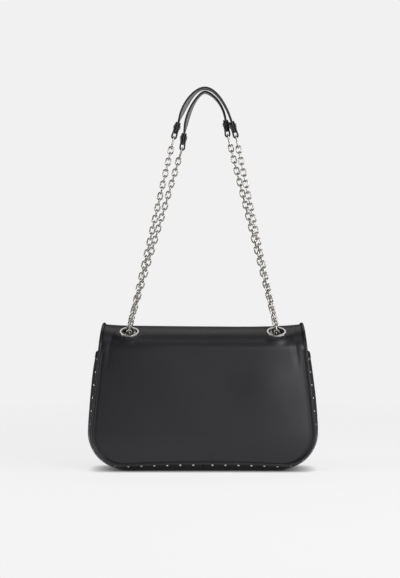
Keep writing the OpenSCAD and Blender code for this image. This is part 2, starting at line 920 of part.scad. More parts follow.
// Places on a strap, as if both sides were the left one: the end of a run, and the middle of the
// loop's bend
function run_end(pivot, lean, l) = left_of(pivot) + l * [sin(lean), 0, cos(lean)];
function loop_at(pivot, lean, l, tab_lean) =
    run_end(pivot, lean, l) + loop_rise * [sin(tab_lean), 0, cos(tab_lean)];
function outer_loop_at(side) = loop_at(outer_pivot, outer_lean(side), outer_l, outer_tab_lean);
function inner_loop_at(side) = loop_at(inner_pivot, inner_lean(side), inner_l(side), inner_tab_lean);

module outer_end_rings() {
    color(bright_nickel)
        placed()
            for (side = [-1, 1])
                on_side(side)
                    translate(run_end(outer_pivot, outer_lean(side), outer_l - ring_h))
                        rotate([0, outer_lean(side), 0])
                            end_ring();
}

module inner_end_rings() {
    color(bright_nickel)
        placed()
            for (side = [-1, 1])
                on_side(side)
                    translate(run_end(inner_pivot, inner_lean(side), inner_l(side) - ring_h))
                        rotate([0, inner_lean(side), 0])
                            end_ring();
}

// Rivet hole through a loop's two legs and the pad between them
module rivet_hole() {
    translate([0, 0, loop_l * rivet_rise_share])
        rotate([0, 90, 0])
            cylinder(d = rivet_d + 2 * rivet_gap, h = 2 * rivet_head_d, center = true, $fn = round_sides);
}

// Side view of a loop, or of the space in it: a bend whose legs close on the pad and run up beside it
module loop_side(bend_r, half_w, top) {
    hull() {
        circle(r = bend_r, $fn = round_sides);
        translate([-half_w, loop_close_l])
            square([2 * half_w, cut_over]);
    }
    translate([-half_w, loop_close_l])
        square([2 * half_w, top - loop_close_l]);
}

// Leather loop round a ring's upper bar
module leather_loop() {
    difference() {
        rotate([90, 0, 0])
            linear_extrude(height = tab_w, center = true)
                loop_side(loop_bend_r + loop_t, leg_r + loop_t, loop_l);
        rotate([90, 0, 0])
            linear_extrude(height = tab_w + 2 * cut_over, center = true)
                loop_side(loop_bend_r, leg_r, loop_l + cut_over);
        rivet_hole();
    }
}

module outer_loops() {
    color(black_leather)
        placed()
            for (side = [-1, 1])
                on_side(side)
                    translate(outer_loop_at(side))
                        rotate([0, outer_tab_lean, 0])
                            leather_loop();
}

module inner_loops() {
    color(black_leather)
        placed()
            for (side = [-1, 1])
                on_side(side)
                    translate(inner_loop_at(side))
                        rotate([0, inner_tab_lean, 0])
                            leather_loop();
}

// Rivet through a loop and the pad's end
module rivet() {
    head_at = leg_r + loop_t + loop_gap;
    translate([0, 0, loop_l * rivet_rise_share])
        rotate([0, 90, 0]) {
            cylinder(d = rivet_d, h = 2 * head_at + rivet_head_t, center = true, $fn = round_sides);
            for (turn = [0, 180])
                rotate([0, turn, 0])
                    translate([0, 0, head_at])
                        cylinder(d = rivet_head_d, h = rivet_head_t, $fn = round_sides);
        }
}

module outer_rivets() {
    color(bright_nickel)
        placed()
            for (side = [-1, 1])
                on_side(side)
                    translate(outer_loop_at(side))
                        rotate([0, outer_tab_lean, 0])
                            rivet();
}

module inner_rivets() {
    color(bright_nickel)
        placed()
            for (side = [-1, 1])
                on_side(side)
                    translate(inner_loop_at(side))
                        rotate([0, inner_tab_lean, 0])
                            rivet();
}

// Shoulder pad: straight ends in the loops, then a curve up to the crown. Each half of the curve
// has two handles, as shares of its rise and of its half width
outer_handle_shares = [0.5, 0.42];
inner_handle_shares = [0.7, 0.22];
curve_steps = 8;
widen_power = 0.7;
pad_edge_share = 0.25;
outer_ends = [for (side = [-1, 1]) outer_loop_at(side)];
inner_ends = [for (side = [-1, 1]) inner_loop_at(side)];
// Height of the outer pad's middle at its crown
crown_z = outer_ends[0][2] + loop_l * cos(outer_tab_lean) + pad_rise - pad_t / 2;
function curve_point(a, b, c, d, t) =
    pow(1 - t, 3) * a + 3 * t * pow(1 - t, 2) * b + 3 * t * t * (1 - t) * c + pow(t, 3) * d;
// Half of a pad's middle line from its loop to its crown, as if it were the left half
function pad_half(at, tab_lean, top_z, shares, side) =
    let (
        dir = [sin(tab_lean), 0, cos(tab_lean)],
        low = at + pad_start * dir,
        leg = at + loop_l * dir,
        crown = [-side * strap_shift, at[1], top_z],
        leg_handle = leg + shares[0] * (top_z - leg[2]) * dir,
        crown_handle = crown + [shares[1] * (leg[0] - crown[0]), 0, 0]
    )
    concat(
        [low, (low + leg) / 2],
        [for (i = [0:curve_steps]) curve_point(leg, leg_handle, crown_handle, crown, i / curve_steps)]
    );
// The whole line, from the places of its left and its right loop
function pad_path(ats, tab_lean, top_z, shares) =
    let (
        left = pad_half(ats[0], tab_lean, top_z, shares, -1),
        right = pad_half(ats[1], tab_lean, top_z, shares, 1)
    )
    concat(left, [for (i = [len(right) - 2:-1:0]) left_of(right[i])]);
function pad_half_w(i, n) =
    let (t = max(0, min(i, n - 1 - i) - 2) / curve_steps)
    (tab_w + (pad_w - tab_w) * pow(sin(90 * t), widen_power)) / 2;
module shoulder_pad(ats, tab_lean, top_z, shares) {
    path = pad_path(ats, tab_lean, top_z, shares);
    n = len(path);
    edge = pad_t * pad_edge_share;
    half_t = pad_t / 2;
    difference() {
        loft([
            for (i = [0:n - 1])
                let (t = path_dir(path, i), out = cross([0, 1, 0], t), w = pad_half_w(i, n))
                [
                    for (c = [
                        [half_t, edge - w], [half_t, w - edge], [half_t - edge, w], [edge - half_t, w],
                        [-half_t, w - edge], [-half_t, edge - w], [edge - half_t, -w], [half_t - edge, -w]
                    ])
                        path[i] + c[0] * out + c[1] * [0, 1, 0]
                ]
        ]);
        for (i = [0, 1])
            on_side(2 * i - 1)
                translate(ats[i])
                    rotate([0, tab_lean, 0])
                        rivet_hole();
    }
}

module outer_pad() {
    color(black_leather)
        placed()
            shoulder_pad(outer_ends, outer_tab_lean, crown_z, outer_handle_shares);
}

module inner_pad() {
    color(black_leather)
        placed()
            shoulder_pad(inner_ends, inner_tab_lean, crown_z - pad_drop, inner_handle_shares);
}

module flap_leather() {
    color(black_leather)
        placed()
            sheet(flap_grid(edge_inset), 0, -leather_t);
}

module flap_lining() {
    color(dark_lining)
        placed()
            difference() {
                sheet(flap_grid(lining_inset + flap_gap), -flap_lining_in, -flap_lining_out);
                snap_hole(flap_inner_y);
            }
}

module flap_piping() {
    color(black_leather)
        placed()
            tube(flap_piping_path, piping_r, [1, 0, 0]);
}

// Flat pockets on the lining, and the zip that closes the one at the back
pocket_t = 0.8;
zip_pocket_l = 44;
slip_pocket_w = 110;
slip_pocket_top_z = 112;
slip_pocket_l = 62;
tape_w = 11;
coil_d = 1.6;
// Half the slit between the two coils
coil_gap = 0.3;
zip_in = lining_out + layer_gap;
module zip_pocket() {
    top_z = zip_z - tape_w - layer_gap;
    color(dark_lining)
        placed()
            sheet(patch_grid(zip_l / 2, top_z - zip_pocket_l, top_z), -zip_in, -zip_in - pocket_t);
}

module slip_pocket() {
    inner = front_lining_out + layer_gap;
    low_z = slip_pocket_top_z - slip_pocket_l;
    color(dark_lining)
        placed()
            sheet(
                to_front(patch_grid(slip_pocket_w / 2, low_z, slip_pocket_top_z)),
                -inner,
                -inner - pocket_t
            );
}

module zip_tapes() {
    color(dark_lining)
        placed() {
            sheet(patch_grid(zip_l / 2, zip_z - tape_w, zip_z - coil_gap), -zip_in, -zip_in - pocket_t);
            sheet(patch_grid(zip_l / 2, zip_z + coil_gap, zip_z + tape_w), -zip_in, -zip_in - pocket_t);
        }
}

// The zip's coils lie on the tapes' inner faces, one on each side of the slit
zip_face_y = -seam_y - swell(zip_l / 2 / side_w(zip_z, 0), zip_z) + zip_in + pocket_t;
coil_y = zip_face_y + layer_gap + coil_d / 2;
module zip_coils() {
    color(dark_lining)
        placed()
            for (side = [-1, 1])
                translate([-zip_l / 2, coil_y, zip_z + side * (coil_d / 2 + coil_gap)])
                    rotate([0, 90, 0])
                        cylinder(d = coil_d, h = zip_l, $fn = wire_sides);
}

// Slider: a plate in front of the coils with a bridge over the puller's crossbar
slider_l = 10;
slider_w = 8;
slider_t = 1.6;
slider_gap = 0.3;
bridge_w = 2;
bridge_t = 1;
bridge_l = 7;
puller_bar_d = 1.2;
puller_gap = 0.4;
puller_w = 6;
puller_l = 24;
puller_window = 7;
slider_x = zip_l / 2 - slider_l / 2;
slider_y = coil_y + coil_d / 2 + slider_gap;
bridge_room = puller_bar_d + 2 * puller_gap;
puller_y = slider_y + slider_t + bridge_room / 2;
module zip_slider() {
    color(bright_nickel)
        placed()
            translate([slider_x, slider_y, zip_z]) {
                translate([-slider_l / 2, 0, -slider_w / 2])
                    cube([slider_l, slider_t, slider_w]);
                difference() {
                    translate([-bridge_l / 2, 0, -bridge_w / 2])
                        cube([bridge_l, slider_t + bridge_room + bridge_t, bridge_w]);
                    translate([-bridge_l / 2 + bridge_t, slider_t, -bridge_w])
                        cube([bridge_l - 2 * bridge_t, bridge_room, 2 * bridge_w]);
                }
            }
}

module zip_puller() {
    color(bright_nickel)
        placed()
            translate([slider_x, puller_y, zip_z])
                difference() {
                    union() {
                        cylinder(d = puller_bar_d, h = puller_w, center = true, $fn = wire_sides);
                        translate([-puller_l, -puller_bar_d / 2, -puller_w / 2])
                            cube([puller_l, puller_bar_d, puller_w]);
                    }
                    translate([-puller_window, -puller_w, -bridge_w / 2 - puller_gap])
                        cube([
                            puller_window - puller_bar_d / 2,
                            2 * puller_w,
                            bridge_w + 2 * puller_gap
                        ]);
                }
}

back_panel();
front_panel();
gusset_left();
gusset_right();
back_piping();
front_piping();
gusset_studs();
base_board();
lining_back();
lining_front();
lining_gusset();
eyelet_left();
eyelet_right();
eyelet_washers();
snap_socket();
snap_socket_washer();
outer_cross_chain();
inner_cross_chain();
zip_pocket();
slip_pocket();
zip_tapes();
zip_coils();
zip_slider();
zip_puller();
flap_leather();
flap_lining();
flap_piping();
snap_stud();
snap_stud_washer();
outer_chain_left();
outer_chain_right();
outer_pad();
outer_loops();
outer_end_rings();
outer_rivets();
inner_chain_left();
inner_chain_right();
inner_pad();
inner_loops();
inner_end_rings();
inner_rivets();
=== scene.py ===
import math

import bpy
import numpy as np
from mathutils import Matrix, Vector, noise


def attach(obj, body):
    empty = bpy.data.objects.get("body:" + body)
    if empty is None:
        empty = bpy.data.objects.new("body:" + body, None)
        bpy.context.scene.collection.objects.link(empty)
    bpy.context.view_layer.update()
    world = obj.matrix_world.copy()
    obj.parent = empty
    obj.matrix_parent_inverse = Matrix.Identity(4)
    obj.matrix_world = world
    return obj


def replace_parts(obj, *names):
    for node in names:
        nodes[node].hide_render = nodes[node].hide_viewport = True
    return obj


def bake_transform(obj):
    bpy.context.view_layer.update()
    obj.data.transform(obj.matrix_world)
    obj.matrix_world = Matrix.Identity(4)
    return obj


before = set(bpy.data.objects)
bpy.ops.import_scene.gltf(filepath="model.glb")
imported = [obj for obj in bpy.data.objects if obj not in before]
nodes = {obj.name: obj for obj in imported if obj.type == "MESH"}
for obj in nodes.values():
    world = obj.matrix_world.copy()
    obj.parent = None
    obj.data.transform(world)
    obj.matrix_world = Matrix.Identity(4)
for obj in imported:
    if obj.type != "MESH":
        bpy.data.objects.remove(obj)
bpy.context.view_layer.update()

# One millimetre in metres
MM = 0.001

# The body's driving dimensions in millimetres, as in the part's source
BODY_W = 274
BODY_D = 80
RIDGE_Z = 176.5
SHOULDER_Z = 149
CORNER_R = 38
SEAM_Z = 8
SIDE_LEAN = 14
LEAN_POWER = 1.1
BOTTOM_BOW = 2.5
RIDGE_LIFT = 3
RIDGE_Y = 6
PANEL_PUFF = 5

# Leather, lining, piping and gusset
LEATHER_T = 2
LINING_T = 1
PIPING_R = 2
GUSSET_BULGE = 6.2
GUSSET_TAPER = 1.7
CORNER_TUCK = 1.8
TUCK_POWER = 0.55
GUSSET_TOP_Z = 146

# Flap and snap
FLAP_END_Z = 52
FLAP_CORNER_R = 34
FOLD_BACK = 6
FLAP_ROOM = 5.4
SNAP_Z = 82

# Eyelets, links, rings and chain runs; how much shorter the left and right inner runs are
EYELET_X = 0.33 * BODY_W
EYELET_BORE = 18.4
EYELET_D = 25
WIRE_D = 1.8
LINK_W = 7.4
LINK_IN = 7.4
RING_IN_H = 12.5
OUTER_RUN = 242
INNER_LESS = (14, 0)

# Straps: their crown's place right of mid-width, pads and leather loops
STRAP_SHIFT = 2.5
PAD_RISE = 43
PAD_DROP = 3.8
OUTER_HALF_W = 38
INNER_HALF_W = 28
PAD_W = 20
PAD_T = 2.3
TAB_W = 9
LOOP_L = 18
LOOP_BEND_R = 1.7
LOOP_CLOSE_L = 7
PAD_START = 3.4

# Zip of the inner pocket
ZIP_L = 130
ZIP_Z = 112
COIL_D = 1.6

# Values that follow from them, and the source's lesser sizes
SEAM_Y = BODY_D / 2
HALF_BODY_W = BODY_W / 2
CORNER_TOP_Z = SEAM_Z + CORNER_R
SWELL_Z = 40
LINING_IN = LEATHER_T + 0.6
LINING_OUT = LINING_IN + LINING_T
FLAP_GAP = 0.9
FLAP_LINING_IN = LEATHER_T + FLAP_GAP
FLAP_LINING_OUT = FLAP_LINING_IN + LINING_T
FLAP_Y = SEAM_Y + PANEL_PUFF + FLAP_ROOM + LINING_T + FLAP_GAP + LEATHER_T
FRONT_TOP_Z = GUSSET_TOP_Z + 0.9
GUSSET_HALF = SEAM_Y - PIPING_R - 0.3
GUSSET_FLAT = 0.6
GUSSET_MID_Z = (CORNER_TOP_Z + GUSSET_TOP_Z) / 2
STUD_Y = 0.95 * GUSSET_HALF
SEAM_FLAT = HALF_BODY_W - CORNER_R
SEAM_ROUND = CORNER_R * math.pi / 2
ROOF_BACK_D = RIDGE_Y + SEAM_Y + PANEL_PUFF
FOLD_TURN = math.acos((RIDGE_Y + FOLD_BACK) / ROOF_BACK_D)
EYELET_TURN = math.radians(48)
HOLE_R = EYELET_BORE / 2 + 0.9
CHAIN_GAP = 0.2
HOOK = WIRE_D + CHAIN_GAP
PITCH = LINK_IN + WIRE_D - HOOK
RING_H = RING_IN_H + WIRE_D
INNER_RUNS = [OUTER_RUN - less for less in INNER_LESS]
LOOP_T = 2
LOOP_GAP = 0.15
OUTER_TAB_LEAN = math.radians(17)
INNER_TAB_LEAN = math.radians(8)
OUTER_HANDLES = (0.5, 0.42)
INNER_HANDLES = (0.7, 0.22)
SHIFT_Y = (SEAM_Y + PANEL_PUFF - FLAP_Y - PIPING_R * math.cos(math.pi / 8)) / 2

# Depth of a panel's edge inside the piping, so that no light shows between them
TUCK = 1.5
# How much closer together a grid's columns are towards its edges, from 0 to 1
EDGE_CROWD = 0.4
# Share of a sheet's thickness that is left at its very edge
THIN_EDGE = 0.08

# The photograph: the camera's distance in metres, a pixel's span at the back panel, the image's
# size, the pixel row of the bag's foot and column of its middle, and the sensor's width
CAMERA_AWAY = 2.2
PIXEL = 1.22 * MM
IMAGE_W, IMAGE_H = 400, 578
FLOOR_ROW = 472.04
MIDDLE_COLUMN = 202.9
SENSOR = 36


def smooth(low, high, x):
    """0 below low, 1 above high, and a smooth step between them."""
    t = np.clip((np.asarray(x, float) - low) / (high - low), 0, 1)
    return t * t * (3 - 2 * t)


def hump(x, middle, width):
    return np.exp(-((np.asarray(x, float) - middle) / width) ** 2)


def waves(points, size, seed):
    """Smooth noise from -1 to 1 over points in millimetres, with features of that size."""
    flat = np.asarray(points, float).reshape(-1, 3) / size + seed
    return np.array([noise.noise(Vector(p)) for p in flat]).reshape(np.shape(points)[:-1])


# Shape of the bag

def side_w(z, inset=0.0):
    rise = np.maximum(0, z - CORNER_TOP_Z) / (RIDGE_Z - CORNER_TOP_Z)
    return HALF_BODY_W - inset - SIDE_LEAN * rise ** LEAN_POWER


def outline_w(z, inset, z_low, r):
    round_r = r - inset
    below = np.maximum(0, z_low + inset + round_r - z)
    return side_w(z, inset) - round_r + np.sqrt(np.maximum(0, round_r ** 2 - below ** 2))


def swell(u, z):
    climb = 1 - (1 - np.clip((z - SEAM_Z) / SWELL_Z, 0, 1)) ** 2
    return PANEL_PUFF * (1 - np.abs(u) ** 4) * climb


def bow(x):
    return BOTTOM_BOW * np.maximum(0, 1 - (x / SEAM_FLAT) ** 2)


def roof_z(u, a):
    return SHOULDER_Z + (RIDGE_Z + RIDGE_LIFT * np.abs(u) ** 6 - SHOULDER_Z) * np.sin(a)


def row_heights(z_low, r, inset, z_high, corner_rows, rows):
    turns = np.linspace(0, math.pi / 2, corner_rows)
    corner = z_low + inset + (r - inset) * (1 - np.cos(turns))
    return np.concatenate([corner, np.linspace(corner[-1], z_high, rows + 1)[1:]])


def across(count):
    """Shares of the half width, closer together towards both edges."""
    s = np.linspace(-1, 1, count)
    return (1 - EDGE_CROWD) * s + EDGE_CROWD * (1.5 * s - 0.5 * s ** 3)


def back_row(u, z, inset):
    w = outline_w(z, inset, SEAM_Z, CORNER_R)
    fade = max(0.0, 1 - (z - SEAM_Z - inset) / SWELL_Z)
    return np.stack([u * w, -SEAM_Y - swell(u, z), z + bow(u * w) * fade], -1)


def roof_row(u, a, inset):
    """Row of the roof at the turn a, from 0 at the back panel over the ridge to pi at the flap."""
    depth = RIDGE_Y + SEAM_Y + swell(u, SHOULDER_Z) if a <= math.pi / 2 else FLAP_Y - RIDGE_Y + 0 * u
    x = u * side_w(roof_z(0, a), inset)
    return np.stack([x, RIDGE_Y - depth * math.cos(a), roof_z(u, a)], -1)


def flap_row(u, z, inset):
    w = outline_w(z, inset, FLAP_END_Z, FLAP_CORNER_R)
    return np.stack([u * w, FLAP_Y + 0 * u, z + 0 * u], -1)


def wrap_grid(count, inset):
    """The sheet from the back panel's foot to the flap's end, and for each row 1 on the flap."""
    u = across(count)
    climb = row_heights(SEAM_Z, CORNER_R, inset, SHOULDER_Z, corner_rows=14, rows=42)
    back = [back_row(u, z, inset) for z in climb]
    back += [roof_row(u, a, inset) for a in np.linspace(0, FOLD_TURN, 25)[1:]]
    front = [roof_row(u, a, inset) for a in np.linspace(FOLD_TURN, math.pi, 34)[1:]]
    drop = row_heights(FLAP_END_Z, FLAP_CORNER_R, inset, SHOULDER_Z, corner_rows=16, rows=26)[::-1]
    front += [flap_row(u, z, inset) for z in drop[1:]]
    on_flap = np.array([0.0] * len(back) + [1.0] * len(front))
    return np.array(back + front), on_flap


def front_grid(count, inset, z_high):
    u = across(count)
    rows = row_heights(SEAM_Z, CORNER_R, inset, z_high, corner_rows=14, rows=40)
    return np.array([back_row(u, z, inset) for z in rows]) * [-1, -1, 1]


def seam_place(s):
    """[x, z, turn] of the seam line at length s from mid-width."""
    if s < SEAM_FLAT:
        return s, SEAM_Z + float(bow(s)), 0.0
    if s < SEAM_FLAT + SEAM_ROUND:
        a = (s - SEAM_FLAT) / CORNER_R
        return SEAM_FLAT + CORNER_R * math.sin(a), CORNER_TOP_Z - CORNER_R * math.cos(a), a
    z = CORNER_TOP_Z + s - SEAM_FLAT - SEAM_ROUND
    return float(side_w(z)), z, math.pi / 2


def gusset_out(place):
    """How far the gusset stands out from the seam line."""
    _, z, turn = place
    if abs(turn) >= math.pi / 2:
        return GUSSET_BULGE - GUSSET_TAPER * ((z - GUSSET_MID_Z) / (GUSSET_TOP_Z - GUSSET_MID_Z)) ** 2
    side = GUSSET_BULGE - GUSSET_TAPER
    share = abs(turn) / (math.pi / 2)
    tuck = CORNER_TUCK * math.sin(math.pi * share ** TUCK_POWER)
    return SEAM_Z + (side - SEAM_Z) * share - tuck + (z - SEAM_Z if turn == 0 else 0)


def gusset_grid(places, half, steps, tuck=0.0):
    """The gusset's outer face between two depths, with its edges drawn on under the piping."""
    y = np.linspace(-half, half, steps)
    left = 1 - np.clip((np.abs(y) / GUSSET_HALF - GUSSET_FLAT) / (1 - GUSSET_FLAT), 0, 1) ** 2
    if tuck:
        y = np.concatenate([[-half - tuck], y, [half + tuck]])
        left = np.concatenate([[0], left, [0]])
    rows = []
    for place in places:
        x, z, turn = place
        out = gusset_out(place) * left
        rows.append(np.stack([x + math.sin(turn) * out, y, z - math.cos(turn) * out], -1))
    return np.array(rows)


# Mesh building, from points in millimetres

def unit(v):
    return v / np.maximum(np.linalg.norm(v, axis=-1, keepdims=True), 1e-12)


def grid_normals(g):
    return unit(np.cross(np.gradient(g, axis=1), np.gradient(g, axis=0)))


def lengths(points, axis=0):
    """Length to each point from the first one, along a path or along a grid's lines."""
    steps = np.linalg.norm(np.diff(points, axis=axis), axis=-1)
    return np.cumsum(np.insert(steps, 0, 0, axis), axis)


def from_ends(path):
    return np.minimum(lengths(path), lengths(path)[-1] - lengths(path))


def rounded(share):
    """Height of a quarter circle, from 0 at its start to 1 from its end on."""
    return np.sqrt(1 - (1 - np.clip(share, 0, 1)) ** 2)


def scene_object(name, data):
    obj = bpy.data.objects.new(name, data)
    bpy.context.scene.collection.objects.link(obj)
    return obj


def make_mesh(name, points, faces, uv, body, material):
    """A smooth mesh piece from points in millimetres; uv holds one pair in millimetres a point."""
    used = np.unique(np.concatenate([np.ravel(f) for f in faces]))
    index = np.full(len(points), -1)
    index[used] = np.arange(len(used))
    placed = (np.asarray(points)[used] + [0, SHIFT_Y, 0]) * MM
    mesh = bpy.data.meshes.new(name)
    mesh.from_pydata(placed.tolist(), [], [index[list(f)].tolist() for f in faces])
    layer = mesh.uv_layers.new(name="UVMap")
    corners = np.zeros(len(mesh.loops), int)
    mesh.loops.foreach_get("vertex_index", corners)
    layer.data.foreach_set("uv", (np.asarray(uv)[used][corners] * MM).astype(np.float32).ravel())
    mesh.polygons.foreach_set("use_smooth", [True] * len(mesh.polygons))
    mesh.materials.append(material)
    mesh.update()
    obj = scene_object(name, mesh)
    if body:
        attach(obj, body)
    return obj


def edge_scale(g, r):
    """Share of a sheet's thickness that is left at each point, so that its edges are round."""
    if not r:
        return np.ones(g.shape[:2])
    down, over = lengths(g), lengths(g, 1)
    near = np.minimum.reduce([down, down[-1:] - down, over, over[:, -1:] - over])
    return np.maximum(THIN_EDGE, rounded(near / r))


def shell(name, g, high, low, body, material, keep=None, r=0.0):
    """Closed sheet between the grid g moved out by high and by low along its normals."""
    rows, cols = g.shape[:2]
    count = rows * cols
    normal = grid_normals(g)
    middle = (high + low) / 2
    half = (high - low) / 2 * edge_scale(g, r)
    faces_at = [g + off[..., None] * normal for off in (middle + half, middle - half)]
    points = np.concatenate([face.reshape(-1, 3) for face in faces_at])
    squares = np.arange(count).reshape(rows, cols)[:-1, :-1]
    a = squares[slice(None) if keep is None else keep].ravel()
    top = np.stack([a, a + 1, a + cols + 1, a + cols], -1)
    ways = np.concatenate([top[:, [k, (k + 1) % 4]] for k in range(4)])
    known = set(map(tuple, ways.tolist()))
    rim = [[q, p, p + count, q + count] for p, q in known if (q, p) not in known]
    faces = top.tolist() + (top[:, ::-1] + count).tolist() + sorted(rim)
    flat = np.stack(np.meshgrid(lengths(g[rows // 2]), lengths(g[:, cols // 2])), -1).reshape(-1, 2)
    return make_mesh(name, points, faces, np.concatenate([flat, flat]), body, material)


def frames(path, side, closed):
    """Two ways square to a path at each of its points, carried along without twist."""
    ends = (np.roll(path, -1, 0), np.roll(path, 1, 0))
    way = unit(ends[0] - ends[1])
    if not closed:
        way[0], way[-1] = unit(path[1] - path[0]), unit(path[-1] - path[-2])
    sides = []
    for t in way:
        side = unit(side - (side @ t) * t)
        sides.append(side)
    sides = np.array(sides)
    other = np.cross(sides, way)
    if closed:
        back = unit(sides[-1] - (sides[-1] @ way[0]) * way[0])
        gap = math.atan2(back @ other[0], back @ sides[0])
        turn = (-gap * np.arange(len(path)) / len(path))[:, None]
        c, s = np.cos(turn), np.sin(turn)
        sides, other = c * sides + s * other, c * other - s * sides
    return sides, other


def ring_faces(n, k, closed, first=0):
    """Faces over n rings of k points: closed into a loop, or with a face at each end."""
    faces = []
    for i in range(n if closed else n - 1):
        a, b = first + i * k, first + (i + 1) % n * k
        faces += [[a + m, b + m, b + (m + 1) % k, a + (m + 1) % k] for m in range(k)]
    if not closed:
        last = first + (n - 1) * k
        faces += [list(range(first, first + k)), list(range(last, last + k))[::-1]]
    return faces


def loft(name, rings, closed, body, material):
    """Solid through rings of as many points each."""
    rings = np.asarray(rings)
    n, k = rings.shape[:2]
    round_it = lengths(np.concatenate([rings[n // 2], rings[n // 2][:1]]))[:-1]
    uv = np.stack(np.meshgrid(round_it, lengths(rings.mean(1))), -1).reshape(-1, 2)
    return make_mesh(name, rings.reshape(-1, 3), ring_faces(n, k, closed), uv, body, material)


def tube(name, path, radius, side, closed, body, material, sides):
    """Round cord along a path; its radius is one value or one a point."""
    a, b = frames(path, np.array(side, float), closed)
    turns = (np.arange(sides) * 2 * math.pi / sides)[:, None]
    radius = (radius + np.zeros(len(path)))[:, None, None]
    out = np.cos(turns) * a[:, None] - np.sin(turns) * b[:, None]
    return loft(name, path[:, None] + radius * out, closed, body, material)


def point_at(path, at, length):
    """Points at some lengths along a path, where at holds the length to each of its own."""
    return np.stack([np.interp(length, at, path[:, k]) for k in range(3)], -1)


def resample(path, step):
    """The same path with points at even distances."""
    at = lengths(path)
    return point_at(path, at, np.linspace(0, at[-1], max(2, round(at[-1] / step) + 1)))


# A stitch: radius, share of the pitch, how far its middle stands out and its ends dip in radii
STITCH_R = 0.24
STITCH_SHARE = 0.74
STITCH_OUT = 0.5
STITCH_DIP = 1.1
STITCH_BLUNT = 0.06


def stitches(name, lines, pitch, body, material):
    """Rows of thread, each line a pair of a path and its outward normals."""
    rings, around = 5, 8
    spans = np.linspace(-1, 1, rings)
    turns = np.arange(around) * 2 * math.pi / around
    points, faces, uv = [], [], []
    for path, normals in lines:
        at = lengths(path)
        count = max(1, int(at[-1] / pitch))
        for i in range(count):
            middle = (i + 0.5) * at[-1] / count
            p, q = (point_at(path, at, middle + s * pitch * STITCH_SHARE / 2) for s in (-1, 1))
            out = unit(point_at(normals, at, middle))
            other = np.cross(unit(q - p), out)
            faces += ring_faces(rings, around, False, len(points))
            for s in spans:
                off = STITCH_R * (STITCH_OUT - STITCH_DIP * s * s)
                centre = (p + q) / 2 + s * (q - p) / 2 + off * out
                r = STITCH_R * math.sqrt(max(STITCH_BLUNT, 1 - s ** 4))
                points += [centre + r * (math.cos(v) * out + math.sin(v) * other) for v in turns]
                uv += [[i * pitch + s, v] for v in turns]
    return make_mesh(name, np.array(points), faces, np.array(uv), body, material)


# Materials

# Sizes and depths of their patterns in millimetres
CLOUD_SIZE = 60
PATCH_SIZE = 16
PORE_T, CELL_T, FINE_T = 0.05, 0.035, 0.02
WEAR_SIZE, SMEAR_SIZE, MARK_SIZE = 5, 1.6, 0.7
CLOTH_CLOUD_SIZE = 25
THREAD_CLOUD_SIZE = 0.5
WEAR_SHADE = 0.82
# Length of one wave of the wave texture at scale 1
WAVE_L = 0.314


def shader(name, **sockets):
    """A material and its Principled shader, with the given constant socket values."""
    material = bpy.data.materials.new(name)
    material.use_nodes = True
    principled = material.node_tree.nodes["Principled BSDF"]
    for key, value in sockets.items():
        principled.inputs[key.replace("_", " ")].default_value = value
    return material, principled


def add(owner, kind, inputs=None, **settings):
    """A new node of a material or the world; an input is a value or the socket it comes from."""
    node = owner.node_tree.nodes.new("ShaderNode" + kind)
    for key, value in settings.items():
        setattr(node, key, value)
    for key, value in (inputs or {}).items():
        if isinstance(value, bpy.types.NodeSocket):
            owner.node_tree.links.new(value, node.inputs[key])
        else:
            node.inputs[key].default_value = value
    return node


def combine(owner, operation, a, b):
    return add(owner, "Math", {0: a, 1: b}, operation=operation).outputs[0]


def link(owner, output, node, key):
    owner.node_tree.links.new(output, node.inputs[key])


def tint(material, principled, factor, low, high, at=(0.3, 0.7)):
    """Colours the shader from low to high by a factor."""
    node = add(material, "ValToRGB", {"Fac": factor})
    for element, place, colour in zip(node.color_ramp.elements, at, (low, high)):
        element.position = place
        element.color = (*colour, 1)
    link(material, node.outputs["Color"], principled, "Base Color")


def roughen(material, principled, factor, low, high):
    node = add(material, "MapRange", {"Value": factor, "To Min": low, "To Max": high})
    link(material, node.outputs["Result"], principled, "Roughness")


def place_of(material, own):
    """Coordinates in metres: the piece's own flat ones, or its place in the bag."""
    return add(material, "TexCoord").outputs["UV" if own else "Object"]


def noise_of(material, where, size, detail):
    return add(material, "TexNoise", {
        "Vector": where, "Scale": 1 / (size * MM), "Detail": detail, "Roughness": 0.55,
    }).outputs["Fac"]


def bump(material, principled, layers):
    """Stacks bumps; each layer is a height socket and its depth in millimetres."""
    last = None
    for height, depth in layers:
        node = add(material, "Bump", {"Height": height, "Distance": depth * MM, "Strength": 1.0})
        if last:
            link(material, last, node, "Normal")
        last = node.outputs["Normal"]
    link(material, last, principled, "Normal")


def leather(name, dark, light, rough, grain):
    """Leather with slow clouds of colour, patches of shine and a fine grain of that size."""
    material, principled = shader(
        name, IOR=1.45, Sheen_Weight=0.02, Sheen_Roughness=0.4, Coat_Weight=0.08, Coat_Roughness=0.32)
    where = place_of(material, True)
    tint(material, principled, noise_of(material, where, CLOUD_SIZE, 4), dark, light)
    roughen(material, principled, noise_of(material, where, PATCH_SIZE, 5), *rough)
    cells = add(material, "TexVoronoi", {"Vector": where, "Scale": 1 / (grain * MM)},
                feature="SMOOTH_F1").outputs["Distance"]
    fine = noise_of(material, where, grain * 0.4, 3)
    pores = noise_of(material, where, grain * 3, 4)
    bump(material, principled, [(pores, PORE_T), (cells, CELL_T), (fine, FINE_T)])
    return material


def metal(name, colour, rough, marks):
    """Plated metal with worn, darker places and faint marks of that depth."""
    material, principled = shader(name, Metallic=1.0)
    where = place_of(material, False)
    darker = tuple(WEAR_SHADE * c for c in colour)
    tint(material, principled, noise_of(material, where, WEAR_SIZE, 5), darker, colour)
    roughen(material, principled, noise_of(material, where, SMEAR_SIZE, 4), *rough)
    bump(material, principled, [(noise_of(material, where, MARK_SIZE, 2), marks)])
    return material


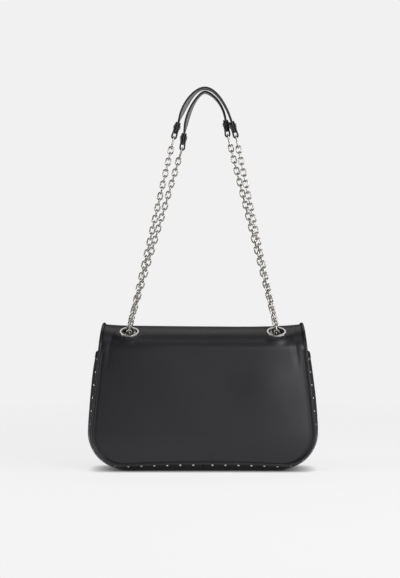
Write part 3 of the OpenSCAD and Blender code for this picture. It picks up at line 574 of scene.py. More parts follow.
def cloth(name, dark, light, yarn, depth):
    """Woven cloth with yarns of that width, shaded by slow clouds."""
    material, principled = shader(name, Roughness=0.78, Sheen_Weight=0.25, Sheen_Roughness=0.5)
    where = place_of(material, True)
    bands = []
    for axis in ("X", "Y", "DIAGONAL"):
        wave = add(material, "TexWave", {
            "Vector": where, "Scale": WAVE_L / (yarn * MM), "Distortion": 0.4, "Detail": 1.0,
            "Detail Scale": 2.0,
        }, wave_type="BANDS", bands_direction=axis)
        bands.append(wave.outputs["Fac"])
    twill = combine(material, "MULTIPLY", combine(material, "MAXIMUM", *bands[:2]), bands[2])
    cloudy = noise_of(material, where, CLOTH_CLOUD_SIZE, 4)
    tint(material, principled, combine(material, "MULTIPLY", twill, cloudy), dark, light, (0.05, 0.5))
    bump(material, principled, [(twill, depth)])
    return material


def stitch_thread():
    material, principled = shader("thread", Roughness=0.5, Sheen_Weight=0.3)
    cloudy = noise_of(material, place_of(material, False), THREAD_CLOUD_SIZE, 2)
    tint(material, principled, cloudy, (0.012, 0.012, 0.014), (0.045, 0.045, 0.048))
    return material


panel_leather = leather(
    "panel_leather", (0.0056, 0.0052, 0.0076), (0.0086, 0.0080, 0.0110), rough=(0.4, 0.5), grain=0.9)
gusset_leather = leather(
    "gusset_leather", (0.006, 0.006, 0.007), (0.010, 0.010, 0.012), rough=(0.46, 0.56), grain=0.9)
trim_leather = leather(
    "trim_leather", (0.004, 0.004, 0.005), (0.008, 0.008, 0.010), rough=(0.3, 0.4), grain=0.6)
pad_leather = leather(
    "pad_leather", (0.010, 0.010, 0.012), (0.02, 0.02, 0.023), rough=(0.34, 0.46), grain=0.8)
# The pads' underside leather is a lining whose pale colour is painted light bounced up from the floor
pad_underside_bounce_lit = leather(
    "pad_underside_painted_bounce", (0.26, 0.26, 0.265), (0.34, 0.34, 0.345), rough=(0.5, 0.62), grain=0.8)
lining_cloth = cloth("lining_cloth", (0.012, 0.011, 0.011), (0.04, 0.037, 0.036), yarn=0.7, depth=0.08)
pocket_cloth = cloth("pocket_cloth", (0.013, 0.012, 0.012), (0.045, 0.041, 0.04), yarn=0.7, depth=0.08)
tape_cloth = cloth("tape_cloth", (0.009, 0.009, 0.01), (0.03, 0.03, 0.032), yarn=0.45, depth=0.06)
coil_plastic, _ = shader("coil_plastic", Base_Color=(0.02, 0.02, 0.022, 1), Roughness=0.35)
# One nickel in three copies: the chain's is darkened as painted shade of dark reflections, and the
# eyelets' and studs' are brightened as painted highlights
nickel = metal("nickel", (0.47, 0.45, 0.42), rough=(0.08, 0.2), marks=0.012)
eyelet_nickel_painted_bright = metal("eyelet_nickel_painted_bright", (0.8, 0.79, 0.77), rough=(0.2, 0.32), marks=0.01)
stud_nickel_painted_bright = metal("stud_nickel_painted_bright", (0.95, 0.94, 0.92), rough=(0.2, 0.3), marks=0.008)
snap_metal = metal("snap_metal", (0.62, 0.61, 0.59), rough=(0.26, 0.4), marks=0.02)
thread = stitch_thread()


# Eyelets

# The room round each in which the leather is worked, and where its flat seat fades out
EYELET_FAR = 40
EYELET_DEEP = 12
PRESS_FROM = EYELET_D / 2 + 0.5
PRESS_TO = EYELET_D / 2 + 9


def eyelet_frame(side):
    """Origin of an eyelet's frame on the roof, and its ways right, up the leather and out of it."""
    u = EYELET_X / side_w(RIDGE_Z)
    at = roof_row(u, EYELET_TURN, 0)
    lean = math.atan2(
        math.cos(EYELET_TURN) * (RIDGE_Z - SHOULDER_Z),
        math.sin(EYELET_TURN) * ROOF_BACK_D,
    )
    origin = np.array([side * EYELET_X, at[1], at[2]])
    up = np.array([0, math.cos(lean), math.sin(lean)])
    out = np.array([0, -math.sin(lean), math.cos(lean)])
    return origin, np.array([1.0, 0, 0]), up, out


def any_corner(marks):
    """Marks each square of a grid of marks that has a marked corner."""
    return marks[:-1, :-1] | marks[1:, :-1] | marks[:-1, 1:] | marks[1:, 1:]


def open_eyelets(g, seat):
    """A grid of the roof with a flat seat and a round hole for each eyelet, and the cells kept."""
    g = g.copy()
    keep = np.ones((g.shape[0] - 1, g.shape[1] - 1), bool)
    for side in (-1, 1):
        origin, right, up, out = eyelet_frame(side)
        local = g - origin
        a, b, c = local @ right, local @ up, local @ out
        far = np.hypot(a, b)
        near = (np.abs(c) < EYELET_DEEP) & (far < EYELET_FAR)
        press = np.where(near, 1 - smooth(PRESS_FROM, PRESS_TO, far), 0)
        c = c * (1 - press) + seat * press
        inside = near & (far < HOLE_R)
        cut = any_corner(inside)
        keep &= ~cut
        edge = any_corner(np.pad(cut, 1)) & ~inside
        pull = np.where(edge, HOLE_R / np.maximum(far, HOLE_R), 1)
        moved = origin + (a * pull)[..., None] * right + (b * pull)[..., None] * up + c[..., None] * out
        g[near] = moved[near]
    return g, keep


# Soft leather forms of the body

# How high each form is, with its size or its place and reach
SIDE_FADE = 14
FOOT_FADE = 16
SWELLS_T, SWELLS_SIZE = 1.1, 85
RIPPLES_T, RIPPLES_SIZE = 0.2, 30
BELLY_T, BELLY_X, BELLY_Z = 1.6, 78, 104
BELLY_W, BELLY_H = 34, 30
CREASE_T, CREASE_VARIES = 0.9, 0.5
CREASE_IN, CREASE_W = 11, 3.6
CREASE_END_Z, CREASE_FULL_Z = 118, 150
GROOVE_T, GROOVE_IN, GROOVE_W = 0.9, 2.6, 1.3
# The flap's own puff, which fades towards its end and over the ridge
FLAP_PUFF = 1.1
FLAP_PUFF_RISE = 22
FLAP_PUFF_FROM_Y = SEAM_Y - 14
FLAP_PUFF_TO_Y = SEAM_Y + 8
# How high leather and lining lie under the eyelets' flanges
LEATHER_SEAT = 0.25
LINING_SEAT = -0.3
# Linings: how far inside the outline they end, their round edges, and their step at the fold
LINING_INSET = TUCK + 3.5
LINING_ROUND = 0.6
LINING_STEP = 12


def panel_relief(g, u):
    """How far the soft leather of a panel stands out from its plain form."""
    x, y, z = g[..., 0], g[..., 1], g[..., 2]
    from_side = (1 - np.abs(u)) * np.abs(side_w(np.minimum(z, RIDGE_Z)))
    off_seams = smooth(0, SIDE_FADE, from_side) * smooth(SEAM_Z, SEAM_Z + FOOT_FADE, z)
    swells = SWELLS_T * waves(g * [0.8, 1, 1], SWELLS_SIZE, 3.1)
    ripples = RIPPLES_T * waves(g * [0.6, 1, 1], RIPPLES_SIZE, 9.7)
    belly = BELLY_T * hump(x, BELLY_X, BELLY_W) * hump(z, BELLY_Z, BELLY_H)
    folded = hump(from_side, CREASE_IN, CREASE_W) * smooth(CREASE_END_Z, CREASE_FULL_Z, z) * (y < RIDGE_Y)
    crease = folded * (CREASE_T + CREASE_VARIES * waves(g, RIPPLES_SIZE, 5.2))
    groove = GROOVE_T * hump(from_side, GROOVE_IN, GROOVE_W) * (z < SHOULDER_Z)
    return off_seams * (swells + ripples + belly) - crease - groove


def shares_of(g):
    """Each point's share of the half width."""
    return across(g.shape[1])[None] + 0 * g[..., 0]


def bend_flap(piece):
    """Bakes the piece's placement into its mesh."""
    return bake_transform(piece)


def wrap_leather():
    """Back panel and flap in one leather, puffed and creased."""
    g, on_flap = wrap_grid(141, TUCK)
    u = shares_of(g)
    puffed = FLAP_PUFF * on_flap[:, None] * (1 - np.abs(u) ** 4)
    puffed = puffed * smooth(FLAP_END_Z, FLAP_END_Z + FLAP_PUFF_RISE, g[..., 2])
    puffed = puffed * smooth(FLAP_PUFF_FROM_Y, FLAP_PUFF_TO_Y, g[..., 1])
    g = g + (panel_relief(g, u) + puffed)[..., None] * grid_normals(g)
    g, keep = open_eyelets(g, LEATHER_SEAT)
    piece = shell("wrap_leather", g, 0, -LEATHER_T, None, panel_leather, keep)
    return bend_flap(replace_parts(piece, "back_panel", "flap_leather"))


def wrap_lining():
    g, on_flap = wrap_grid(121, LINING_INSET)
    step = on_flap[:, None] * smooth(0, LINING_STEP, np.abs(g[..., 1] + FOLD_BACK))
    g, keep = open_eyelets(g, LINING_SEAT)
    high = -LINING_IN - step * (FLAP_LINING_IN - LINING_IN)
    piece = shell("wrap_lining", g, high, high - LINING_T, None, lining_cloth, keep, LINING_ROUND)
    return bend_flap(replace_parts(piece, "lining_back", "flap_lining"))


# Piping

# Sides, length between points, how far it wanders and swells, and where its round ends start
PIPING_SIDES = 20
PIPING_STEP = 2.0
WANDER, WANDER_SIZE = 0.25, 30
PIPING_VARIES, PIPING_VARIES_SIZE = 0.035, 9
END_START = 0.05


def wrap_piping():
    """One closed run of piping, round the back panel and on round the flap."""
    side_l = SEAM_FLAT + SEAM_ROUND + SHOULDER_Z - CORNER_TOP_Z
    seam = [seam_place(s) for s in np.linspace(0, side_l, 150)[:-1]]
    back = np.array([[x, -SEAM_Y, z] for x, z, _ in seam])
    roof = np.array([roof_row(1.0, a, 0) for a in np.linspace(0, math.pi, 70)])
    drop = row_heights(FLAP_END_Z, FLAP_CORNER_R, 0, SHOULDER_Z, corner_rows=20, rows=34)[::-1][1:]
    side = np.array([flap_row(1.0, z, 0) for z in drop])
    low = np.linspace(side[-1][0], 0, 40)[1:]
    end = np.array([[x, FLAP_Y, FLAP_END_Z] for x in low])
    right = np.concatenate([back, roof, side, end])
    left = right[-2:0:-1] * [-1, 1, 1]
    path = resample(np.concatenate([right, left, right[:1]]), PIPING_STEP)[:-1]
    path = path + WANDER * np.stack([waves(path, WANDER_SIZE, seed) for seed in (1.5, 6.5, 8.5)], -1)
    radius = PIPING_R * (1 + PIPING_VARIES * waves(path, PIPING_VARIES_SIZE, 4.4))
    piece = tube("wrap_piping", path, radius, (0, 0, 1), True, None, trim_leather, PIPING_SIDES)
    return bend_flap(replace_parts(piece, "back_piping", "flap_piping"))


# Front panel

# Its share of a panel's relief, how far it is sunk, and where it is flat for the snap and free
FRONT_RELIEF = 0.6
FRONT_SUNK = 0.3
SNAP_FLAT_R = 10
SNAP_FREE_R = 22
FRONT_LINING_DOWN = 1


def front_leather():
    g = front_grid(121, TUCK, FRONT_TOP_Z)
    relief = FRONT_RELIEF * panel_relief(g * [1, -1, 1], shares_of(g)) - FRONT_SUNK
    g = g + relief[..., None] * grid_normals(g)
    from_snap = np.hypot(g[..., 0], g[..., 2] - SNAP_Z)
    press = 1 - smooth(SNAP_FLAT_R, SNAP_FREE_R, from_snap)
    g[..., 1] = g[..., 1] * (1 - press) + (SEAM_Y + PANEL_PUFF) * press
    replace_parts(shell("front_leather", g, 0, -LEATHER_T, "bag", panel_leather), "front_panel")


def front_lining():
    g = front_grid(101, LINING_INSET, FRONT_TOP_Z - FRONT_LINING_DOWN)
    piece = shell("front_lining", g, -FLAP_LINING_IN, -FLAP_LINING_OUT, "bag", lining_cloth,
                  r=LINING_ROUND)
    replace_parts(piece, "lining_front")


def front_piping():
    """Piping from one end of the mouth round to the other, with rounded ends."""
    right = np.array([[x, SEAM_Y, z] for x, z, _ in side_places(FRONT_TOP_Z)])
    path = resample(np.concatenate([right[::-1] * [-1, 1, 1], right[1:]]), PIPING_STEP)
    radius = PIPING_R * rounded(from_ends(path) / PIPING_R + END_START)
    piece = tube("front_piping_cord", path, radius, (0, 0, 1), False, "bag", trim_leather, PIPING_SIDES)
    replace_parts(piece, "front_piping")


def side_places(z_end):
    """Places of the seam line from mid-width up one side to a height."""
    total = SEAM_FLAT + SEAM_ROUND + z_end - CORNER_TOP_Z
    flat = np.linspace(0, SEAM_FLAT, 50)[:-1]
    turn = np.linspace(SEAM_FLAT, SEAM_FLAT + SEAM_ROUND, 24)[:-1]
    side = np.linspace(SEAM_FLAT + SEAM_ROUND, total, 44)
    return [seam_place(s) for s in np.concatenate([flat, turn, side])]


# Gusset and bindings

# Depth under the piping, sag and puckers, lift beside the piping, and the seam at the bottom
GUSSET_TUCK = 1.6
LOOSE_FROM_Z, LOOSE_TO_Z = 6, 34
LOOSE_IN = 4
SAG_T, SAG_SIZE = 0.8, 50
PUCKER_T, PUCKER_SIZE = 0.2, 17
STUD_ROW_W = 3.5
FLOOR_FROM_Z, FLOOR_TO_Z = 1.5, 6
GUSSET_LIFT, LIFT_IN = 0.2, 2
SEAM_DIP, SEAM_RIDGE = 0.55, 0.25
SEAM_W, SEAM_RIDGE_X = 1.6, 3.2
SEAM_UP = 4
GUSSET_LINING_IN = 2
# Binding: its height, how far it rises over the edge and stands out, and its round edges
BINDING_H = 9
BINDING_OVER = 1.2
GUSSET_BINDING_T = 0.9
MOUTH_BINDING_T = 0.6
BINDING_BACK = 0.5
BINDING_ROUND = 2.4
BINDING_LEAN = 0.1
MOUTH_INSET = TUCK + 2
MOUTH_SEAM_DOWN = 6.5
MOUTH_SEAM_SHARE = 0.97
MOUTH_PITCH = 3.2


def one_sided(g, side):
    """A grid of the right side, or its mirror image with its faces still turned outwards."""
    return g if side > 0 else (g * [-1, 1, 1])[:, ::-1]


def gusset_half(name, side, places):
    g = gusset_grid(places, GUSSET_HALF, 41, GUSSET_TUCK)
    from_seam = GUSSET_HALF - np.abs(g[..., 1])
    loose = smooth(LOOSE_FROM_Z, LOOSE_TO_Z, g[..., 2]) * smooth(0, LOOSE_IN, from_seam)
    sag = SAG_T * waves(g * [side, 1, 1], SAG_SIZE, 2.2)
    pucker = PUCKER_T * waves(g, PUCKER_SIZE, 7.1)
    stud_row = hump(np.abs(g[..., 1]), STUD_Y, STUD_ROW_W)
    off_floor = smooth(FLOOR_FROM_Z, FLOOR_TO_Z, g[..., 2])
    soft = loose * (sag + pucker) * (1 - stud_row)
    lift = GUSSET_LIFT * smooth(0, LIFT_IN, from_seam) * off_floor + soft
    seam = SEAM_RIDGE * hump(g[..., 0], SEAM_RIDGE_X, SEAM_W) - SEAM_DIP * hump(g[..., 0], 0, SEAM_W)
    lift = lift + seam * off_floor * (g[..., 2] < SEAM_Z + SEAM_UP)
    g = one_sided(g + lift[..., None] * grid_normals(g), side)
    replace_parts(shell(name + "_leather", g, 0, -LEATHER_T, "bag", gusset_leather), name)


def gusset_binding(name, side):
    """Folded leather over the gusset's upper end."""
    end = SEAM_FLAT + SEAM_ROUND + GUSSET_TOP_Z - CORNER_TOP_Z
    top = [seam_place(s) for s in np.linspace(end - BINDING_H, end, 12)]
    x, z, turn = top[-1]
    top += [(x - BINDING_LEAN, z + rise, turn) for rise in (BINDING_OVER / 2, BINDING_OVER)]
    edge = one_sided(gusset_grid(top, GUSSET_HALF, 27), side)
    shell(name + "_binding", edge, GUSSET_BINDING_T, -LINING_OUT - BINDING_BACK, "bag", trim_leather,
          r=BINDING_ROUND)


def gusset_pieces():
    places = side_places(GUSSET_TOP_Z)
    for name, side in (("gusset_left", -1), ("gusset_right", 1)):
        gusset_half(name, side, places)
        gusset_binding(name, side)
    whole = [(-x, z, -turn) for x, z, turn in places[:0:-1]] + places
    inner = gusset_grid(whole, GUSSET_HALF - GUSSET_LINING_IN, 33)
    piece = shell("gusset_lining", inner, -LINING_IN, -LINING_OUT, "bag", lining_cloth, r=LINING_ROUND)
    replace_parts(piece, "lining_gusset")


def mouth_binding():
    """Folded leather along the front panel's upper edge, with a row of stitches."""
    u = across(121)
    heights = np.linspace(FRONT_TOP_Z - BINDING_H, FRONT_TOP_Z + BINDING_OVER, 14)
    g = np.array([back_row(u, z, MOUTH_INSET) for z in heights]) * [-1, -1, 1]
    shell("mouth_binding", g, MOUTH_BINDING_T, -FLAP_LINING_OUT - BINDING_BACK, "bag", trim_leather,
          r=BINDING_ROUND)
    seam_u = np.linspace(-MOUTH_SEAM_SHARE, MOUTH_SEAM_SHARE, 160)
    line = back_row(seam_u, FRONT_TOP_Z - MOUTH_SEAM_DOWN, MOUTH_INSET) * [-1, -1, 1]
    out = np.tile([0.0, 1.0, 0.0], (len(line), 1))
    stitches("mouth_stitches", [(line + MOUTH_BINDING_T * out, out)], MOUTH_PITCH, "bag", thread)


# Inside pockets and the zip

# Their gap to the lining, their cloth, and the sizes of tapes, slip pocket, hem and coils
POCKET_GAP = 0.3
POCKET_T = 0.8
POCKET_ROUND = 0.5
POCKET_H = 44
TAPE_W = 11
TAPE_SLIT = 0.3
SLIP_HALF_W = 55
SLIP_LOW_Z, SLIP_TOP_Z = 50, 112
HEM_H, HEM_OVER = 8, 0.6
HEM_FRONT, HEM_BACK = 0.05, 0.5
HEM_ROUND = 0.6
COIL_GAP = 0.3
COIL_WIRE_R = 0.26
COIL_TURNS = 100
COIL_STEPS = 14


def patch_grid(w, z_low, z_high, rows=24):
    """Grid on the back panel's face between two heights, w to each side of mid-width."""
    z = np.linspace(z_low, z_high, rows)[:, None] + np.zeros((1, 80))
    x = np.linspace(-w, w, 80)[None] + 0 * z
    return np.stack([x, -SEAM_Y - swell(x / side_w(z), z), z], -1)


def patch(name, g, off, material):
    """Cloth on a lining that ends that far inside the panel's face."""
    high = -off - POCKET_GAP
    return shell(name, g, high, high - POCKET_T, "bag", material, r=POCKET_ROUND)


def zip_pocket():
    top = ZIP_Z - TAPE_W - POCKET_GAP
    piece = patch("zip_pocket_cloth", patch_grid(ZIP_L / 2, top - POCKET_H, top), LINING_OUT, pocket_cloth)
    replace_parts(piece, "zip_pocket")
    low = patch_grid(ZIP_L / 2, ZIP_Z - TAPE_W, ZIP_Z - TAPE_SLIT)
    high = patch_grid(ZIP_L / 2, ZIP_Z + TAPE_SLIT, ZIP_Z + TAPE_W)
    low_tape = patch("zip_tape_low", low, LINING_OUT, tape_cloth)
    patch("zip_tape_high", high, LINING_OUT, tape_cloth)
    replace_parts(low_tape, "zip_tapes")


def slip_pocket():
    """Open pocket on the front lining, with a leather hem."""
    g = patch_grid(SLIP_HALF_W, SLIP_LOW_Z, SLIP_TOP_Z) * [-1, -1, 1]
    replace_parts(patch("slip_pocket_cloth", g, FLAP_LINING_OUT, pocket_cloth), "slip_pocket")
    hem = patch_grid(SLIP_HALF_W, SLIP_TOP_Z - HEM_H, SLIP_TOP_Z + HEM_OVER, 10) * [-1, -1, 1]
    high = -FLAP_LINING_OUT - POCKET_GAP
    shell("slip_pocket_hem", hem, high + HEM_FRONT, high - POCKET_T - HEM_BACK, "bag", trim_leather,
          r=HEM_ROUND)


def zip_coils():
    """Two coils of plastic wire that wind against each other."""
    tape_y = -SEAM_Y - float(swell(ZIP_L / 2 / side_w(ZIP_Z), ZIP_Z)) + LINING_OUT + POCKET_GAP + POCKET_T
    y = tape_y + COIL_GAP + COIL_D / 2
    t = np.linspace(0, COIL_TURNS, COIL_TURNS * COIL_STEPS)
    r = COIL_D / 2 - COIL_WIRE_R
    for name, side in (("zip_coil_low", -1), ("zip_coil_high", 1)):
        z = ZIP_Z + side * (COIL_D / 2 + COIL_GAP)
        turn = side * t * 2 * math.pi
        path = np.stack([
            -ZIP_L / 2 + ZIP_L * t / COIL_TURNS, y + r * np.cos(turn), z + r * np.sin(turn),
        ], -1)
        piece = tube(name, path, COIL_WIRE_R, (1, 0, 0), False, "bag", coil_plastic, 6)
        if side < 0:
            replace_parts(piece, "zip_coils")


# Shoulder pads and the leather loops at their ends

# How far out the outer chain swings, a pad's later start, and the points on its end and curve
ROOT_RISE = 6.4
PAD_END_GAP = 0.3
STRAIGHT_STEPS = 11
CURVE_STEPS = 46
# A pad's section: its edge's roundness, its crown, and the groove that its stitches lie in
PAD_EDGE_R = 0.9
PAD_CROWN = 0.2
PAD_GROOVE_T, PAD_GROOVE_W = 0.28, 0.7
PAD_SEAM_IN = 2.4
PAD_SEAM_SUNK = 0.05
PAD_PITCH = 2.6
# How fast a pad widens, its twist, and the shares of its length over which that changes
WIDEN_POWER = 0.7
PAD_TWIST = math.radians(15)
TWIST_COMES = (0.09, 0.2)
TWIST_GOES = (0.22, 0.5)
# A loop: its ends' taper with the width and thickness left, how square it is, and its seams
LOOP_STEP = 0.7
LOOP_TAPER_L = 3.4
LOOP_END_START = 0.02
LOOP_END_W, LOOP_END_T = 0.35, 0.55
SQUARE_FACE, SQUARE_SIDE = 0.45, 0.75
LOOP_SEAM_IN = 1.3
LOOP_SEAM_END = 2.6
LOOP_SEAM_SUNK = 0.04
LOOP_PITCH = 2.0


def leaned(angle):
    """The way up for something on the left that leans towards mid-width."""
    return np.array([math.sin(angle), 0, math.cos(angle)])


def link_count(run):
    return 2 * round((run + HOOK - RING_H) / (2 * PITCH))


def strap_places():
    """For each strap the middles of its loops' bends, both as if they were on the left side."""
    origin, _, up, out = eyelet_frame(-1)
    row = EYELET_BORE / 2 - LINK_W / 2 - CHAIN_GAP
    rise = LOOP_BEND_R - WIRE_D / 2 - LOOP_GAP
    root = math.asin((EYELET_X - INNER_HALF_W) / INNER_RUNS[1])
    outer_pivot = origin - row * up + ROOT_RISE * out
    inner_pivot = origin + row * up + (ROOT_RISE - CHAIN_GAP) * out + (PITCH - HOOK) * leaned(root)
    outer_l = PITCH * link_count(OUTER_RUN) - HOOK + RING_H
    inner_ls = [PITCH * (link_count(run) - 1) + RING_H for run in INNER_RUNS]
    straps = {}
    for name, pivot, runs, half_w, tab in (
        ("outer", outer_pivot, (outer_l, outer_l), OUTER_HALF_W, OUTER_TAB_LEAN),
        ("inner", inner_pivot, inner_ls, INNER_HALF_W, INNER_TAB_LEAN),
    ):
        ends = []
        for side, run in zip((-1, 1), runs):
            lean = math.asin((-pivot[0] - half_w - side * STRAP_SHIFT) / run)
            ends.append(pivot + run * leaned(lean) + rise * leaned(tab))
        straps[name] = (ends, tab)
    return straps


def pad_path(ends, tab, top_z, handles):
    """Middle line of a pad from left to right, and the share of the climb to the crown."""
    t = np.linspace(0, 1, CURVE_STEPS)[:, None]
    way = leaned(tab)
    halves = []
    for side, at in zip((-1, 1), ends):
        low = at + (PAD_START + PAD_END_GAP) * way
        leg = at + LOOP_L * way
        crown = np.array([-side * STRAP_SHIFT, at[1], top_z])
        leg_handle = leg + handles[0] * (top_z - leg[2]) * way
        crown_handle = crown + [handles[1] * (leg[0] - crown[0]), 0, 0]
        curve = ((1 - t) ** 3 * leg + 3 * t * (1 - t) ** 2 * leg_handle
                 + 3 * t * t * (1 - t) * crown_handle + t ** 3 * crown)
        straight = low + (leg - low) * np.linspace(0, 1, STRAIGHT_STEPS + 1)[:-1, None]
        halves.append(np.concatenate([straight, curve]))
    left, right = halves
    share = np.concatenate([np.zeros(STRAIGHT_STEPS), t[:, 0]])
    path = np.concatenate([left, right[-2::-1] * [-1, 1, 1]])
    return path, np.concatenate([share, share[-2::-1]])


def pad_section(w):
    """Half of a pad's outline as [thickness, width] pairs: its grooved face and right edge."""
    v = np.linspace(-1, 1, 17)
    width = v * (w - PAD_EDGE_R)
    groove = PAD_GROOVE_T * hump(w - np.abs(width), PAD_SEAM_IN, PAD_GROOVE_W)
    face = PAD_T / 2 + PAD_CROWN * (1 - v ** 2) - groove
    turn = np.linspace(0, math.pi, 7)[1:-1]
    edge = np.stack([PAD_T / 2 * np.cos(turn), w - PAD_EDGE_R + PAD_EDGE_R * np.sin(turn)], -1)
    return np.stack([face, width], -1), edge


def paint_underside(piece, count):
    """The pad's inner face is lined with a softer leather, made pale as painted light bounced up from the
    floor.
    """
    face, edge = pad_section(PAD_W / 2)
    around = 2 * (len(face) + len(edge))
    piece.data.materials.append(pad_underside_bounce_lit)
    for i in range(count - 1):
        for m in range(len(face) - 1):
            piece.data.polygons[i * around + m].material_index = 1


def pad(name, ends, tab, top_z, handles):
    """Shoulder pad of a strap, with stitches along each edge of both faces."""
    path, share = pad_path(ends, tab, top_z, handles)
    way = unit(np.gradient(path, axis=0))
    depth = np.array([0.0, 1.0, 0.0])
    out = np.cross(depth, way)
    length = lengths(path) / lengths(path)[-1]
    twist = -PAD_TWIST * smooth(*TWIST_COMES, length) * (1 - smooth(*TWIST_GOES, length))
    widths = (TAB_W + (PAD_W - TAB_W) * np.sin(share * math.pi / 2) ** WIDEN_POWER) / 2
    rings = []
    rows = {(high, side): [] for high in (1, -1) for side in (-1, 1)}
    for p, o, w, a in zip(path, out, widths, twist):
        face, edge = pad_section(w)
        section = np.concatenate([face, edge, face[::-1] * [-1, 1], edge[::-1] * [1, -1]])
        turned = math.cos(a) * o + math.sin(a) * depth
        sideways = math.cos(a) * depth - math.sin(a) * o
        rings.append(p + section[:, :1] * turned + section[:, 1:] * sideways)
        for (high, side), row in rows.items():
            place = p + high * (PAD_T / 2 - PAD_SEAM_SUNK) * turned + side * (w - PAD_SEAM_IN) * sideways
            row.append((place, high * turned))
    piece = loft(name + "_pad_leather", rings, False, name + "_strap", pad_leather)
    paint_underside(piece, len(rings))
    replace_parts(piece, name + "_pad")
    on_pad = slice(STRAIGHT_STEPS, -STRAIGHT_STEPS)
    lines = [[np.array(v) for v in zip(*row[on_pad])] for row in rows.values()]
    stitches(name + "_pad_stitches", lines, PAD_PITCH, name + "_strap", thread)


def loop_path():
    """Middle line of a loop from its bend's middle, whose legs close on the pad, and their place."""
    bend_r = LOOP_BEND_R + LOOP_T / 2
    leg_x = PAD_T / 2 + LOOP_GAP + LOOP_T / 2
    to_close = math.hypot(leg_x, LOOP_CLOSE_L)
    start = math.atan2(LOOP_CLOSE_L, leg_x) - math.acos(bend_r / to_close)
    bend = np.linspace(start, -math.pi / 2, 12)
    leg = np.linspace(LOOP_L, LOOP_CLOSE_L, 12)
    high = np.stack([leg_x + 0 * leg, 0 * leg, leg], -1)
    low = np.stack([bend_r * np.cos(bend), 0 * bend, bend_r * np.sin(bend)], -1)
    half = resample(np.concatenate([high, low]), LOOP_STEP)
    return np.concatenate([half, half[-2::-1] * [-1, 1, 1]]), leg_x


def squarer(values, power):
    """Flatter tops for a sine, so that a round section comes nearer to a square."""
    return np.sign(values) * np.abs(values) ** power


def loop_rings(path):
    """Sections of a loop along its path, thinner and narrower at both ends."""
    out = np.cross(unit(np.gradient(path, axis=0)), [0.0, 1.0, 0.0])
    taper = rounded(from_ends(path) / LOOP_TAPER_L + LOOP_END_START)
    turn = np.linspace(0, 2 * math.pi, 29)[:-1]
    flat = squarer(np.sin(turn), SQUARE_FACE)[:, None]
    wide = squarer(np.cos(turn), SQUARE_SIDE)[:, None]
    rings = []
    for p, o, t in zip(path, out, taper):
        half_w = TAB_W / 2 * (LOOP_END_W + (1 - LOOP_END_W) * t)
        half_t = LOOP_T / 2 * (LOOP_END_T + (1 - LOOP_END_T) * t)
        rings.append(p + half_t * flat * o + half_w * wide * np.array([0, 1.0, 0]))
    return np.array(rings)


def loops(name, ends, tab):
    """Leather loops round the end rings, stitched along their edges."""
    path, leg_x = loop_path()
    rings = loop_rings(path)
    turn_tab = np.array([
        [math.cos(tab), 0, math.sin(tab)], [0, 1, 0], [-math.sin(tab), 0, math.cos(tab)],
    ])
    z = np.linspace(LOOP_CLOSE_L, LOOP_L - LOOP_SEAM_END, 16)
    seam_x = leg_x + LOOP_T / 2 - LOOP_SEAM_SUNK
    seam_y = TAB_W / 2 - LOOP_SEAM_IN
    lines = []
    for side, place, at in zip(("left", "right"), (1, -1), ends):
        placed = one_sided(rings @ turn_tab.T + at, place)
        piece = loft(f"{name}_loop_{side}", placed, False, name + "_strap", trim_leather)
        if side == "left":
            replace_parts(piece, name + "_loops")
        for face in (1, -1):
            for edge in (-1, 1):
                line = np.stack([face * seam_x + 0 * z, edge * seam_y + 0 * z, z], -1) @ turn_tab.T + at
                normal = np.tile([float(face), 0, 0], (len(z), 1)) @ turn_tab.T
                lines.append([v * [place, 1, 1] for v in (line, normal)])
    stitches(name + "_loop_stitches", lines, LOOP_PITCH, name + "_strap", thread)


def strap_pieces():
    straps = strap_places()
    crown = straps["outer"][0][0][2] + LOOP_L * math.cos(OUTER_TAB_LEAN) + PAD_RISE - PAD_T / 2
    for name, drop, handles in (("outer", 0, OUTER_HANDLES), ("inner", PAD_DROP, INNER_HANDLES)):
        ends, tab = straps[name]
        pad(name, ends, tab, crown - drop, handles)
        loops(name, ends, tab)


# Camera, floor and lights

# The floor in metres, its brightness, the reach of its painted contact shadow, and the distances where it
# fades
FLOOR_R = 3.0
FLOOR_DOWN = 0.0003
FLOOR_WHITE = 0.3
FLOOR_GLOW = 0.745
SHADOW_REACH = 0.02
FADE_FROM, FADE_TO = 0.45, 1.5
# Brightness of background and room, and the spans over which the room's changes
BACKGROUND = 0.88
ROOM_LEFT = 0.045
ROOM_RIGHT = 0.42
ROOM_BEHIND = 0.12
ROOM_COLOUR = (1.0, 0.985, 1.06, 1)
SIDEWAYS_SPAN = (-0.7, 0.7)
AHEAD_SPAN = (-0.6, 0.1)
# Each softbox: its place, the point that it aims at, its size, and its power in watts
SOFTBOXES = {
    "right": ((0.95, -1.8, 0.62), (0.03, 0, 0.12), (0.75, 0.75), 16.5),
    "left": ((-1.8, -0.45, 0.55), (0, 0, 0.12), (0.6, 1.2), 10),
    "far_right": ((1.8, -0.45, 0.6), (0, 0, 0.12), (0.6, 1.2), 8),
    "top": ((0, -0.5, 1.9), (0, 0, 0.1), (1.2, 0.8), 3.5),
    "over": ((0.1, 1.1, 1.5), (0, 0, 0.15), (1.6, 0.8), 3.5),
}


def add_camera():
    data = bpy.data.cameras.new("photo_camera")
    data.sensor_width = SENSOR
    data.lens = SENSOR * CAMERA_AWAY / (PIXEL * IMAGE_H)
    camera = scene_object("photo_camera", data)
    back_y = (SHIFT_Y - SEAM_Y - PANEL_PUFF) * MM
    camera.location = (
        (IMAGE_W / 2 - MIDDLE_COLUMN) * PIXEL,
        back_y - CAMERA_AWAY,
        (FLOOR_ROW - IMAGE_H / 2) * PIXEL,
    )
    camera.rotation_euler = (math.pi / 2, 0, 0)
    bpy.context.scene.camera = camera


def soft_step(owner, value, span, low, high):
    """A smooth change from low to high while a value crosses a span."""
    return add(owner, "MapRange", {
        "Value": value, "From Min": span[0], "From Max": span[1], "To Min": low, "To Max": high,
    }, interpolation_type="SMOOTHSTEP").outputs["Result"]


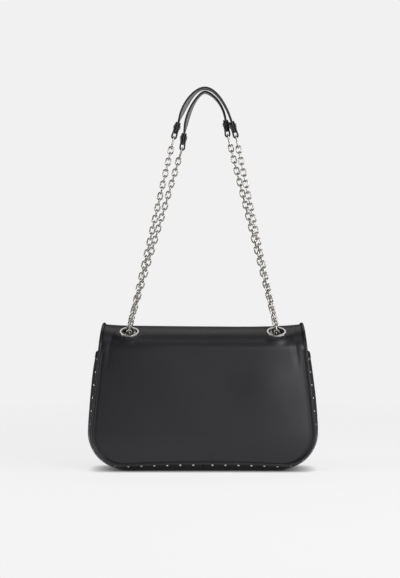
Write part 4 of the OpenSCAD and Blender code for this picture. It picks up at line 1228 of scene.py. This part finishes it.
def add_floor():
    """A pale floor that glows a little, so that only a tight shadow shows, painted by dimming its glow
    near the bag, and that fades far away.
    """
    bpy.ops.mesh.primitive_circle_add(
        vertices=96, radius=FLOOR_R, fill_type="NGON", location=(0, 0, -FLOOR_DOWN))
    floor = bpy.context.object
    floor.name = "studio_floor"
    material, principled = shader(
        "floor_paper", Roughness=0.9, Specular_IOR_Level=0.1, Emission_Color=(1, 1, 1, 1),
        Base_Color=(FLOOR_WHITE, FLOOR_WHITE, FLOOR_WHITE, 1))
    # The floor's glow is dimmed by ambient occlusion near the bag: a painted contact shadow
    painted_contact_shadow = add(material, "AmbientOcclusion", {"Distance": SHADOW_REACH}, samples=8)
    glow_with_painted_shadow = combine(material, "MULTIPLY", painted_contact_shadow.outputs["AO"], FLOOR_GLOW)
    link(material, glow_with_painted_shadow, principled, "Emission Strength")
    where = add(material, "TexCoord").outputs["Object"]
    far = add(material, "VectorMath", {0: where}, operation="LENGTH").outputs["Value"]
    fade = soft_step(material, far, (FADE_FROM, FADE_TO), 0, 1)
    clear = add(material, "BsdfTransparent")
    mix = add(material, "MixShader", {0: fade, 1: principled.outputs[0], 2: clear.outputs[0]})
    link(material, mix.outputs[0], material.node_tree.nodes["Material Output"], "Surface")
    floor.data.materials.append(material)


def add_world():
    """The camera sees a plain background; a darker room, brightest at the right, lights the bag."""
    world = bpy.data.worlds.new("studio")
    bpy.context.scene.world = world
    world.use_nodes = True
    where = add(world, "TexCoord").outputs["Generated"]
    split = add(world, "SeparateXYZ", {0: where})
    sideways = soft_step(world, split.outputs["X"], SIDEWAYS_SPAN, ROOM_LEFT, ROOM_RIGHT)
    ahead = soft_step(world, split.outputs["Y"], AHEAD_SPAN, 1.0, ROOM_BEHIND)
    lit = world.node_tree.nodes["Background"]
    lit.inputs["Color"].default_value = ROOM_COLOUR
    link(world, combine(world, "MULTIPLY", sideways, ahead), lit, "Strength")
    plain = add(world, "Background", {"Color": (BACKGROUND, BACKGROUND, BACKGROUND, 1)})
    seen = add(world, "LightPath").outputs["Is Camera Ray"]
    mix = add(world, "MixShader", {0: seen, 1: lit.outputs[0], 2: plain.outputs[0]})
    link(world, mix.outputs[0], world.node_tree.nodes["World Output"], "Surface")


def add_softboxes():
    for name, (place, aim, size, power) in SOFTBOXES.items():
        data = bpy.data.lights.new(name, "AREA")
        data.shape = "RECTANGLE"
        data.size, data.size_y = size
        data.energy = power
        light = scene_object(name, data)
        light.location = place
        light.rotation_euler = (Vector(aim) - Vector(place)).to_track_quat("-Z", "Y").to_euler()


add_camera()
add_floor()
add_world()
add_softboxes()
bpy.context.scene.view_settings.view_transform = "Standard"

wrap_leather()
wrap_lining()
wrap_piping()
front_leather()
front_lining()
front_piping()
gusset_pieces()
mouth_binding()
zip_pocket()
slip_pocket()
zip_coils()
strap_pieces()

# Looks of the CAD pieces that don't take the chain's nickel, whose darker colour is painted shade
CAD_LOOKS = {
    "gusset_studs": stud_nickel_painted_bright,
    "eyelet_left": eyelet_nickel_painted_bright,
    "eyelet_right": eyelet_nickel_painted_bright,
    "base_board": lining_cloth,
    "snap_socket": snap_metal,
    "snap_stud": snap_metal,
    "snap_socket_washer": snap_metal,
    "snap_stud_washer": snap_metal,
}
for name, node in nodes.items():
    node.data.materials.clear()
    node.data.materials.append(CAD_LOOKS.get(name, nickel))
